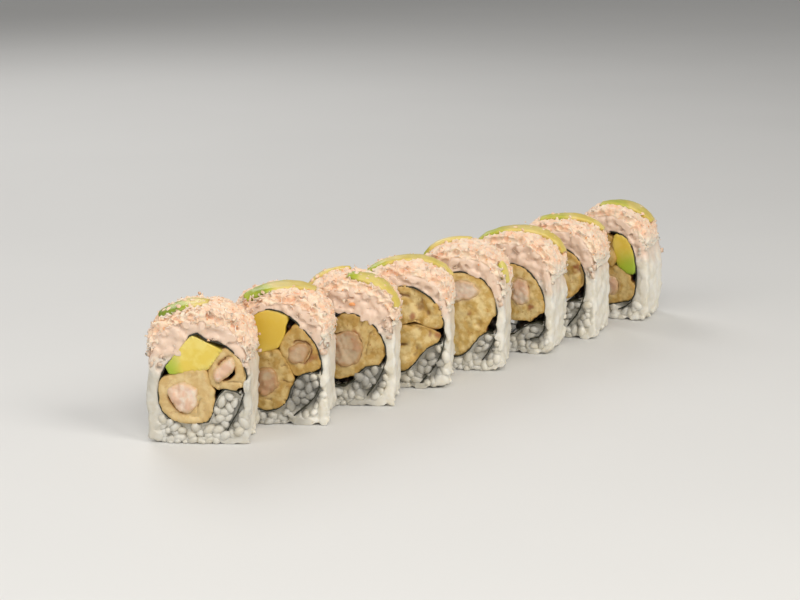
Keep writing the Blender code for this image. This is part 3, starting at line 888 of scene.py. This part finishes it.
def make_rice_core(cut, solid, nori_spots):
    """The rice without its grains, and which of its points whole grains go on."""
    core = fused("core", [solid], CORE_MESH)
    place, facing = cut.seen(core)
    on_face = np.abs(facing[:, 1]) > CUT_SHARE
    bare = on_face | (np.abs(place[:, 0]) > cut.width / 2 - 2.0) | (place[:, 2] < 0.6)
    shrunk = step_between(0.2, 0.8, core.averaged(bare, 2))
    wall = distance_to(nori_spots, place[:, [0, 2]])
    thin = step_between(3.6, 2.4, wall) * (np.abs(facing[:, 1]) < CUT_SHARE)
    core.push(CORE_OUT - CORE_IN * shrunk * (1 - 0.6 * core.averaged(thin, 2)))
    whole = whole_grains_at(cut, place)
    core.push(-WHOLE_IN * core.averaged(whole & on_face, 2))
    band = (place[:, 2] > BAND_FROM) & (np.abs(place[:, 0]) < cut.width / 2 - 3.5)
    core.push(-BAND_IN * core.averaged(band & on_face & ~whole, 3))
    on_cut = np.abs(facing[:, 1]) > FLAT_CUT_SHARE
    return core, on_cut & ~whole, on_cut & whole & (wall > 1.1)


def rice_sides(cut, solid):
    """The outer walls, the shoulders under the salad and the underside."""
    middle, normal = face_facts(solid, cut)
    outward = normal[:, 0] * middle[:, 0] > 0
    outer = (np.abs(middle[:, 0]) > cut.width / 2 - 2.2) & outward
    shoulder = (middle[:, 2] > cut.height - 10.0) & (normal[:, 2] > 0.3)
    under = middle[:, 2] < 0.5
    return faces_where(solid, (np.abs(normal[:, 1]) <= 0.7) & (outer | shoulder | under))


def wear_down(cut, skin, seed):
    """Smooths the grains, but less low down, in the band over the nori and where whole grains show."""
    local = cut.local(skin.points)
    calm = skin.averaged(skin.points, 20, 0.6)
    near_cut = step_between(4.0, 1.5, depth_of(local))
    within = step_between(cut.width / 2 - 2.5, cut.width / 2 - 4.5, np.abs(local[:, 0]))
    worn = 0.94 - 0.7 * near_cut * within * step_between(20.0, 26.0, local[:, 2])
    worn *= step_between(1.5, 5.0, local[:, 2] + 1.5 * soft_noise(skin.points, 4, seed + 6))
    worn *= 1 - skin.averaged(whole_grains_at(cut, local) * near_cut, 5)
    skin.put(skin.points + worn[:, None] * (calm - skin.points))


def pack_grains(cut, surface, seed):
    """Whole soft grains close together on a sunk part of the cut faces."""
    loose = Skin(scattered(
        f"{cut.name}_rice_grains", GRAIN_TREE, surface, seed + 8,
        Spacing=2.1, Crowding=5.0, Sunk=-0.45, Tilt=0.9, Smallest=0.75, Largest=1.15, **size_of(SOFT_GRAIN)))
    chance = np.random.default_rng(seed + 9).uniform(0, 1, len(loose.points) // GRAIN_POINTS)
    local = cut.local(loose.points)
    local[:, 2] = np.maximum(local[:, 2], 0.05)
    loose.put(cut.place(local))
    # The loose grains get a little less of the wet grey and painted shade
    mark_rice(cut, loose, np.repeat(chance, GRAIN_POINTS), seed, 0.85 * POCKET_WET_AND_SHADE[cut.number - 1])
    finished(loose.mesh, "rice", "rice")


def make_rice(cut, nori_spots):
    """The slice's rice. Gives back its core, for the salad that is smeared over it."""
    seed = 100 * cut.number
    node = f"{cut.name}_rice"
    solid = merged(node)
    core, sliced, packed = make_rice_core(cut, solid, nori_spots)
    like = dict(Smallest=0.8, Largest=1.1, **size_of(GRAIN))
    lying = scattered(
        "lying", GRAIN_TREE, rice_sides(cut, solid), seed + 1, Spacing=2.1, Sunk=1.05, Tilt=0.25, **like)
    cut_across = scattered(
        "cut", GRAIN_TREE, small_triangles(core, sliced), seed + 2, Spacing=1.9, Sunk=-0.1, Tilt=0.8, **like)
    grains = [triangles_of(lying), triangles_of(cut_across)]
    skin = fused(f"{cut.name}_rice_body", [triangles_of(core.mesh), *grains], RICE_MESH)
    skin.smooth(1, 0.5)
    wear_down(cut, skin, seed)
    cut_flush(cut, skin)
    skin.push(0.12 * soft_noise(skin.points, 1.9, seed + 3) + 0.05 * soft_noise(skin.points, 0.9, seed + 3))
    keep_over_nori(cut, skin, nori_spots)
    tones = nearest_tone(skin.points, joined(*grains)[0], GRAIN_POINTS, seed + 4)
    mark_rice(cut, skin, tones, seed, POCKET_WET_AND_SHADE[cut.number - 1])
    finished(skin.mesh, "rice", "rice", node)
    pack_grains(cut, small_triangles(core, packed), seed)
    return core


def above_end(local, ends):
    """How far above the lower end of the salad on its own side each place is."""
    return local[:, 2] - np.where(local[:, 0] < 0, *ends)


def salad_surfaces(cut, solid, ends, rice_core, nori_spots, seed):
    """Where crumbs show: on the salad's own solid, and smeared down over the cut rice towards the nori."""
    middle, normal = face_facts(solid, cut)
    outward = normal[:, 0] * middle[:, 0] + normal[:, 2] * (middle[:, 2] - CROWN) > 0.0
    on_cut = np.abs(normal[:, 1]) > 0.7
    shown = faces_where(solid, (outward | on_cut) & (above_end(middle, ends) > 2.5))
    place, facing = cut.seen(rice_core)
    level = place[:, 2] - 0.3 * np.abs(place[:, 0]) + 3.0 * soft_noise(rice_core.points, 3.0, seed + 9)
    away = distance_to(nori_spots, place[:, [0, 2]])
    smeared = (np.abs(facing[:, 1]) > 0.7) & (level > 21.5) & (away > 1.1)
    return shown, small_triangles(rice_core, smeared)


def salad_body(cut, solid, surfaces, nori_spots, rough, seed):
    """The salad as one surface: its solid, a little shrunk, under lumps and strands."""
    bits = []
    for part, (surface, share) in enumerate(zip(surfaces, (1.0, 1.05))):
        lumps = scattered(
            "lumps", GRAIN_TREE, surface, seed + 1 + part, Spacing=1.25 * share, Sunk=0.4 - 0.9 * part,
            Tilt=0.6, Smallest=0.55, Largest=1.3, **size_of(LUMP))
        shreds = scattered(
            "shreds", SHRED_TREE, surface, seed + 3 + part, Spacing=2.3 * share / rough, Sunk=0.1 - 0.9 * part,
            Tilt=0.35, Smallest=0.5, Largest=1.2, **size_of(SHRED))
        bits += [triangles_of(lumps), triangles_of(shreds)]
    core = fused("core", [solid], CORE_MESH)
    place, facing = cut.seen(core)
    out_facing = facing[:, 0] * place[:, 0] + facing[:, 2] * (place[:, 2] - CROWN)
    under = step_between(2.0, -2.0, out_facing) * step_between(0.8, 0.5, np.abs(facing[:, 1]))
    room = np.clip(distance_to(nori_spots, place[:, [0, 2]]) - 1.0, -0.4, 0.4)
    core.push(-0.75 * (1 - under) + room * under)
    skin = fused(f"{cut.name}_crab_salad", [triangles_of(core.mesh), *bits], CRAB_MESH)
    skin.smooth(1 + 3 * cut.number // 4, 0.35)
    return skin


def settle_salad(cut, skin, ends, rough, seed):
    """Lets the salad sink at its cut edges, roughens it, and thins out its lower ends."""
    cut_flush(cut, skin, 0.5, 0.35)
    local, facing = cut.seen(skin)
    out_facing = facing[:, 0] * np.sign(local[:, 0]) * 0.7 + facing[:, 2]
    skin.push(-skin.averaged(fall_away(local) * step_between(0.0, 0.6, out_facing), 8))
    coarse, fine = soft_noise(skin.points, 1.7, seed + 5), soft_noise(skin.points, 0.9, seed + 6)
    skin.push(rough * (0.18 * coarse + 0.14 * fine))
    local, facing = cut.seen(skin)
    at_end = step_between(4.5, 0.5, above_end(local, ends)) * (np.abs(facing[:, 1]) < 0.8)
    at_end = skin.averaged(at_end, 3)
    skin.push(-0.9 * at_end)
    local = cut.local(skin.points)
    local[:, 2] += 1.2 * at_end * soft_noise(skin.points, 4.5, seed + 14)
    skin.put(cut.place(local))
    skin.mark("hollow", rough * skin.hollow(8))
    above = above_end(local, ends) + 2.0 * soft_noise(skin.points, 3.0, seed + 12)
    skin.mark("fade", step_between(9.0, 0.5, above))
    skin.mark("tone", 0.5 + 0.5 * soft_noise(skin.points, 1.8, seed + 7))
    level = local[:, 2] - 0.15 * np.abs(local[:, 0]) + 1.5 * soft_noise(skin.points, 4, seed + 8)
    skin.mark("low", 0.35 * step_between(33.0, 27.0, level))


# Single large flecks on a cut face: middle in u, v and z, and half sizes
LARGE_FLECKS = {3: ((1.7, 0.0, 37.5), (1.3, 0.5, 0.8))}

# The slices whose avocado on top is well strewn with salad
STREWN = (1, 3)


def strew_salad(cut, everywhere, rough, seed):
    """What lies loose on the topping: crumbs on the avocado, and strands and flecks on the salad."""
    on_strips = joined(*(merged(n) for n in sorted(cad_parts) if n.startswith(cut.name + "_topping")))
    crumbs = scattered(
        f"{cut.name}_crumbs", GRAIN_TREE, on_strips, seed + 13, FINISH["crab"], Spacing=1.6, Sunk=0.0, Tilt=0.5,
        Crowding=0.3 if cut.number in STREWN else 0.04, Smallest=0.6, Largest=1.5, **size_of(LUMP))
    finished(fallen(cut, crumbs), "crab", "crab")
    strands = scattered(
        f"{cut.name}_shreds", SHRED_TREE, everywhere, seed + 10, FINISH["shred"], Spacing=2.2 / rough,
        Sunk=0.15, Tilt=0.3, Smallest=0.4, Largest=1.2, **size_of(FINE_SHRED))
    finished(fallen(cut, strands), "shred", "crab")
    flecks = scattered(
        f"{cut.name}_flecks", GRAIN_TREE, everywhere, seed + 11, FINISH["fleck"], Spacing=3.2,
        Sunk=0.05, Tilt=0.5, Smallest=0.3, Largest=0.6 + 0.5 * rough, **size_of(FLECK))
    if cut.number in LARGE_FLECKS:
        points, triangles = joined(triangles_of(flecks), ball(cut, *LARGE_FLECKS[cut.number]))
        flecks = new_mesh(f"{cut.name}_flecks_and_one_large", points, triangles)
    finished(fallen(cut, flecks), "fleck", "crab")


def make_crab(cut, rice_core, nori_spots):
    """The crab salad on top. The slices further along the row have a finer, smoother one."""
    seed = 100 * cut.number + 30
    rough = 1.0 - 0.10 * (cut.number - 1)
    node = f"{cut.name}_crab"
    solid = merged(node)
    corners = cut.local(solid[0])
    ends = [corners[side][:, 2].min() for side in (corners[:, 0] < 0, corners[:, 0] > 0)]
    surfaces = salad_surfaces(cut, solid, ends, rice_core, nori_spots, seed)
    skin = salad_body(cut, solid, surfaces, nori_spots, rough, seed)
    settle_salad(cut, skin, ends, rough, seed)
    finished(skin.mesh, "crab", "crab", node)
    strew_salad(cut, joined(*surfaces), rough, seed)


def fallen(cut, mesh):
    """Lets what lies on the topping sink with it towards the cut faces."""
    skin = Skin(mesh)
    local = cut.local(skin.points)
    flat = local[:, [0, 2]] - (0.0, CROWN)
    flat /= np.linalg.norm(flat, axis=1, keepdims=True)
    high = step_between(cut.height - 14.0, cut.height - 4.0, local[:, 2] + 0.25 * np.abs(local[:, 0]))
    local[:, [0, 2]] -= flat * (fall_away(local) * high)[:, None]
    skin.put(cut.place(local))
    return skin.mesh


def rim_share(cut, skin, reach, apart_from=None):
    """1 at the edge of the cut face and on the sides, and 0 this far in. Sides round a core don't count."""
    local, facing = cut.seen(skin)
    on_side = (local[:, 1] > 2.0) & (local[:, 1] < 6.0) & (np.abs(facing[:, 1]) < 0.5)
    sides = local[on_side][:, [0, 2]]
    if apart_from is not None and len(apart_from):
        sides = sides[distance_to(apart_from, sides) > 1.6]
    return step_between(reach, 0.1, distance_to(sides, local[:, [0, 2]]))


def snug(cut, skin, nori_spots, others, least=0.15, most=1.4):
    """Swells a filling until it meets the nori or its neighbour, but not into an open gap."""
    local, facing = cut.seen(skin)
    flat = local[:, [0, 2]]
    to_nori, to_other = distance_to(nori_spots, flat), distance_to(others, flat)
    room = np.minimum(to_nori + 0.2, 0.5 * to_other + 0.1)
    room *= step_between(1.5 * most, most, room)
    room = np.clip(room, least, most)
    for u, z, reach in GAPS.get(cut.number, []):
        room *= step_between(0.5 * reach, 1.2 * reach, np.hypot(flat[:, 0] - u, flat[:, 1] - z))
    facing[:, 1] = 0.0
    size = np.linalg.norm(facing, axis=1, keepdims=True)
    move = facing / (size + 1e-9) * step_between(0.3, 0.8, size) * skin.averaged(room, 4)[:, None]
    skin.put(cut.place(local + skin.averaged(move, 3)))


def ball(cut, middle, half_sizes):
    """A rounded body at a place in a slice's frame."""
    maker = bmesh.new()
    bmesh.ops.create_icosphere(maker, subdivisions=3, radius=1.0)
    points = np.array([v.co for v in maker.verts])
    triangles = np.array([[v.index for v in f.verts] for f in maker.faces])
    maker.free()
    return cut.place(points * half_sizes + middle), triangles


def plug(cut, u, z, reach):
    """A ball of batter deep in an open gap, so that no light comes through it."""
    return ball(cut, (u, THICK / 2, z), (reach, THICK / 2 - 4.0, reach))


def rifts_in(cut, skin, node, meat):
    """Where on the cut faces the batter has come away from the prawn, from 0 to 1."""
    local, facing = cut.seen(skin)
    flat = local[:, [0, 2]]
    rift = np.zeros(len(flat))
    for way in RIFTS.get(node, []):
        towards = flat - meat.mean(axis=0)
        towards = (towards / np.linalg.norm(towards, axis=1, keepdims=True)) @ way
        beside = step_between(1.3, 0.8, distance_to(meat, flat))
        rift = np.maximum(rift, step_between(0.55, 0.85, towards) * beside)
    return rift * (np.abs(facing[:, 1]) > CUT_SHARE)


# The batter's relief round a prawn, and where there is only batter: how far its lumps stand out and how far
# apart they are, the widths of its folds and how far apart they are, and from which chance on a fold opens
ROUND_PRAWN = (0.35, 3.6, 0.15, 6.0, 0.3)
ONLY_BATTER = (1.3, 5.0, 0.4, 4.6, -0.3)

# How far a filling may swell to meet the nori, in millimetres
BATTER_SWELL = {4: 2.2}


def make_tempura(cut, node, nori_spots, others, meat):
    """A batter round its prawn, or alone where the frame has no prawn for it."""
    seed = 100 * cut.number + 60 + sum(map(ord, node)) % 30
    gaps = GAPS.get(cut.number, []) if node != f"{cut.name}_tempura_upper" else []
    skin = fused(node + "_batter", [merged(node), *(plug(cut, *gap) for gap in gaps)], FILLING_MESH)
    snug(cut, skin, nori_spots, others, most=BATTER_SWELL.get(cut.number, 1.4))
    local, facing = cut.seen(skin)
    flat = local[:, [0, 2]]
    near_meat = distance_to(meat, flat)
    rift = rifts_in(cut, skin, node, meat)

    lumpy, size, width, apart, chance = ROUND_PRAWN if len(meat) else ONLY_BATTER
    crumb = lumpy * soft_noise(skin.points, size, seed) + 0.28 * soft_noise(skin.points, 1.7, seed + 1)
    crumb += 0.12 * soft_noise(skin.points, 0.8, seed + 2)
    fold = np.abs(soft_noise(skin.points, apart, seed + 3))
    crack = 1 - step_between(0.0, width, fold)
    crack *= step_between(chance, 0.4, soft_noise(skin.points, 5.0, seed + 4))
    on_face = 0.35 + 0.65 * step_between(0.3, 0.7, np.abs(facing[:, 1]))
    skin.push((crumb - (0.4 + 0.9 * lumpy) * crack) * on_face - 1.8 * skin.averaged(rift, 2))

    skin.mark("rim", (0.3 if cut.number == 1 else 0.7) * rim_share(cut, skin, 1.5, meat))
    # Painted shade of this slice's batter
    skin.mark("painted_shade", np.full(len(flat), SLICE_SHADE[cut.number][0]))
    # How deep each point lies in a hollow, for the painted crevice shade; deeper in the broad hollows of batter
    # alone
    skin.mark("hollow", skin.hollow(8) + (0.0 if len(meat) else 0.6 * skin.hollow(30)))
    deep = depth_of(cut.local(skin.points))
    burnt = step_between(0.8, 3.0, deep) if len(meat) else step_between(2.0, 5.0, deep)
    burnt = np.maximum(burnt, skin.averaged(rift, 1))
    for u, z, reach in BURNT.get(cut.number, []):
        spot = np.hypot(flat[:, 0] - u, flat[:, 1] - z) / reach + 0.8 * soft_noise(skin.points, 1.3, seed + 6)
        burnt = np.maximum(burnt, 0.8 * step_between(1.1, 0.1, spot))
    skin.mark("inside", burnt)
    # Painted shade: nearly black where the batter lies a few millimetres in from a cut face, as in the gaps, but
    # not in the rifts
    skin.mark("deep", step_between(2.5, 4.5, deep) * (1 - skin.averaged(rift > 0.1, 3)))
    skin.mark("pale", np.maximum(0.7 * step_between(1.6, 0.2, near_meat), 0.4 if cut.number == 1 else 0.0))
    finished(skin.mesh, "tempura", "tempura", node)


def make_prawn(cut, node):
    """The cut meat of a prawn, a little proud of its batter."""
    seed = 100 * cut.number + 80
    skin = fused(node + "_meat", [merged(node)], FILLING_MESH)
    skin.push(1.0 if cut.number == 1 else 0.5)
    skin.smooth(1)
    skin.push(0.6 * soft_noise(skin.points, 2.6, seed) + 0.25 * soft_noise(skin.points, 1.2, seed + 1))
    skin.mark("rim", rim_share(cut, skin, 1.2))
    # Painted shade of this slice's prawn
    skin.mark("painted_shade", np.full(len(skin.points), SLICE_SHADE[cut.number][1]))
    finished(skin.mesh, "prawn", "prawn", node)


# Which way the flesh turns green on each cut avocado, in u and z, from which share on, and how ripe it is
GREEN_TOWARDS = {
    "slice1_avocado": (-0.9, -0.45, 0.55, 0.1),
    "slice2_avocado": (-0.8, 0.3, 0.85, 0.8),
    "slice8_avocado": (0.35, -0.95, 0.0, 0.5),
}


# Corners of a cut avocado with flat sides, in u and z, clockwise
FLAT_SIDES = {"slice1_avocado": [(-2.0, 36.4), (8.4, 31.4), (3.4, 24.6), (-9.2, 23.0), (-10.7, 25.8)]}


def flat_sided(cut, skin, corners):
    """Swells a piece until it fills a shape with straight sides, and cuts off what stands over them."""
    facing = cut.turned(skin.normals)
    skin.push(1.6 * step_between(0.7, 0.3, np.abs(facing[:, 1])))
    local = cut.local(skin.points)
    for (u, z), (next_u, next_z) in zip(corners, corners[1:] + corners[:1]):
        way = np.array([z - next_z, next_u - u])
        way = way / np.linalg.norm(way)
        over = np.maximum((local[:, [0, 2]] - (u, z)) @ way, 0.0)
        local[:, 0] -= over * way[0]
        local[:, 2] -= over * way[1]
    skin.put(cut.place(local))
    skin.smooth(1, 0.4)


def make_avocado(cut, node, nori_spots, others):
    skin = fused(node + "_flesh", [merged(node)], FILLING_MESH)
    if node in FLAT_SIDES:
        flat_sided(cut, skin, FLAT_SIDES[node])
    else:
        snug(cut, skin, nori_spots, others, most=2.0)
    skin.push(0.08 * soft_noise(skin.points, 3.0, cut.number))
    u, z, start, ripe = GREEN_TOWARDS[node]
    local = cut.local(skin.points)
    along = local[:, 0] * u + local[:, 2] * z
    along = (along - along.min()) / np.ptp(along) + 0.06 * soft_noise(skin.points, 3.0, 5)
    skin.mark("green", 0.8 * step_between(start, 1.05, along))
    skin.mark("ripe", np.full(len(along), ripe))
    finished(skin.mesh, "avocado", "avocado", node)


# How green each slice of avocado on top is: how far from its left end, how much there, on its far edge,
# and all over
STRIP_GREEN = {
    "slice1_topping_avocado": (0.3, 0.9, 0.95, 0.15),
    "slice2_topping_avocado": (-0.05, 0.8, 0.9, 0.15),
    "slice3_topping_avocado_1": (-0.5, 0.7, 0.9, 0.1),
    "slice3_topping_avocado_2": (-0.35, 0.75, 0.9, 0.25),
    "slice4_topping_avocado": (-0.3, 0.75, 0.9, 0.2),
    "slice5_topping_avocado_1": (-0.2, 0.6, 0.7, 0.1),
    "slice5_topping_avocado_2": (-0.3, 0.5, 0.4, 0.3),
    "slice6_topping_avocado": (-0.1, 0.6, 0.8, 0.15),
    "slice7_topping_avocado": (0.1, 0.5, 0.4, 0.2),
    "slice8_topping_avocado": (0.2, 0.55, 0.8, 0.25),
}


def make_strip(cut, node):
    """A slice of avocado that lies over the crest, greener at its tip and its far edge."""
    skin = fused(node + "_slice", [merged(node)], STRIP_MESH)
    skin.smooth(3)
    skin.push(0.25 + 0.15 * soft_noise(skin.points, 3.0, cut.number + 9))
    fallen(cut, skin.mesh)
    skin = Skin(skin.mesh)
    local = cut.local(skin.points)
    flat = local[:, :2] - local[:, :2].mean(axis=0)
    ways = np.linalg.eigh(np.cov(flat.T))[1]
    across = flat @ (ways[:, 0] * np.sign(ways[1, 0]))
    along = flat @ (ways[:, 1] * np.sign(ways[0, 1]))
    across /= np.abs(across).max()
    along /= np.abs(along).max()
    tip, at_tip, edge, all_over = STRIP_GREEN[node]
    green = np.maximum(edge * step_between(0.35, 0.95, across), at_tip * step_between(tip, tip - 0.5, along))
    green = np.maximum(green, all_over) + 0.12 * soft_noise(skin.points, 2.5, 3)
    skin.mark("green", np.clip(green, 0, 1))
    skin.mark("ripe", np.full(len(along), 0.15))
    finished(skin.mesh, "strip", "topping_avocado", node)


def make_nori(cut):
    """The sheet of nori round the fillings, made finer and uneven at its cut edges."""
    node = f"{cut.name}_nori"
    points, triangles = merged(node)
    piece = new_object("sheet", new_mesh("sheet", points, triangles))
    finer = piece.modifiers.new("finer", "SUBSURF")
    finer.subdivision_type = "SIMPLE"
    finer.levels = finer.render_levels = 2
    mesh = evaluated(piece)
    mesh.name = node + "_sheet"
    skin = Skin(mesh)
    skin.push(-0.07)
    local = drawn_in(cut, cut.local(skin.points))
    flat = np.stack([local[:, 0], local[:, 2], 0.2 * local[:, 1]], axis=1) * MM
    local[:, 0] += 0.16 * soft_noise(flat, 1.6, cut.number)
    local[:, 2] += 0.16 * soft_noise(flat, 1.6, cut.number + 50)
    edge = depth_of(local) < 0.5
    inward = np.where(local[:, 1] < THICK / 2, 1.0, -1.0)
    local[:, 1] += np.where(edge, inward * (0.25 + 0.25 * soft_noise(flat, 1.3, cut.number + 70)), 0.0)
    skin.put(cut.place(local))
    finished(skin.mesh, "nori", "nori", node)


def make_slice(cut):
    """All pieces of one slice."""
    kinds = {n: n.split("_", 1)[1] for n in sorted(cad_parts) if n.startswith(cut.name + "_")}
    nori_spots = outline_of(cut, [f"{cut.name}_nori"])
    make_nori(cut)
    core = make_rice(cut, nori_spots)
    make_crab(cut, core, nori_spots)
    fillings = [n for n, kind in kinds.items() if kind.startswith(("tempura", "avocado"))]
    edges = {n: outline_of(cut, [n]) for n in fillings}
    for node, kind in kinds.items():
        if kind.startswith("topping_avocado"):
            make_strip(cut, node)
        elif kind.startswith("prawn"):
            make_prawn(cut, node)
        elif node in edges:
            rest = [edges[n] for n in fillings if n != node]
            others = np.concatenate(rest) if rest else np.zeros((0, 2))
            if kind.startswith("avocado"):
                make_avocado(cut, node, nori_spots, others)
            else:
                meat = [n for n in kinds if n == node.replace("tempura", "prawn")]
                make_tempura(cut, node, nori_spots, others, outline_of(cut, meat))


for cut in SLICES:
    make_slice(cut)


# ---------------------------------------------------------------- floor, lights and camera


def floor():
    """A plain pale ground, just below the roll so that the two don't touch."""
    side = 3.0
    below = -0.0001
    corners = np.array([(-side, -side, below), (side, -side, below), (side, side, below), (-side, side, below)])
    piece = new_object("floor", new_mesh("floor", corners, [(0, 1, 2, 3)]))
    finish, tree, shader = material("pale floor", 0.6)
    shade = mixed(tree, noise_of(tree, 6.0, 2.0), (0.74, 0.74, 0.73), (0.78, 0.78, 0.77))
    tree.links.new(shade, shader.inputs["Base Color"])
    piece.data.materials.append(finish)


def lamp(name, place, target, size, power, colour):
    light = bpy.data.lights.new(name, "AREA")
    light.shape = "SQUARE"
    light.size = size
    light.energy = power
    light.color = colour
    piece = bpy.data.objects.new(name, light)
    way = np.array(target) - np.array(place)
    piece.location = place
    flat = math.hypot(way[0], way[1])
    piece.rotation_euler = (math.atan2(flat, -way[2]), 0.0, math.atan2(way[1], way[0]) - math.pi / 2)
    bpy.context.scene.collection.objects.link(piece)


def camera():
    view = bpy.data.cameras.new("camera")
    view.lens = 100.0
    view.sensor_width = 36.0
    view.clip_start = 0.01
    piece = bpy.data.objects.new("camera", view)
    piece.location = (-0.62369, -0.49883, 0.206)
    piece.rotation_euler = (math.radians(77.3), 0.0, math.radians(-50.5))
    bpy.context.scene.collection.objects.link(piece)
    bpy.context.scene.camera = piece


def surroundings():
    world = bpy.data.worlds.new("studio")
    world.use_nodes = True
    sky = world.node_tree.nodes["Background"]
    sky.inputs["Color"].default_value = (1.0, 0.99, 0.97, 1.0)
    sky.inputs["Strength"].default_value = 0.28
    bpy.context.scene.world = world
    bpy.context.scene.view_settings.view_transform = "Standard"


floor()
lamp("key", (-0.05, -0.85, 0.65), (0.0, 0.0, 0.02), 0.45, 4.6, (1.0, 0.96, 0.90))
lamp("front", (-0.65, -0.6, 0.75), (0.0, 0.0, 0.02), 0.5, 3.8, (1.0, 0.97, 0.92))
lamp("fill", (-0.8, 0.1, 0.6), (0.0, 0.0, 0.02), 0.7, 2.4, (1.0, 0.97, 0.93))
lamp("back", (0.4, 0.8, 0.7), (0.0, 0.0, 0.02), 0.5, 3.0, (1.0, 0.98, 0.96))
camera()
surroundings()
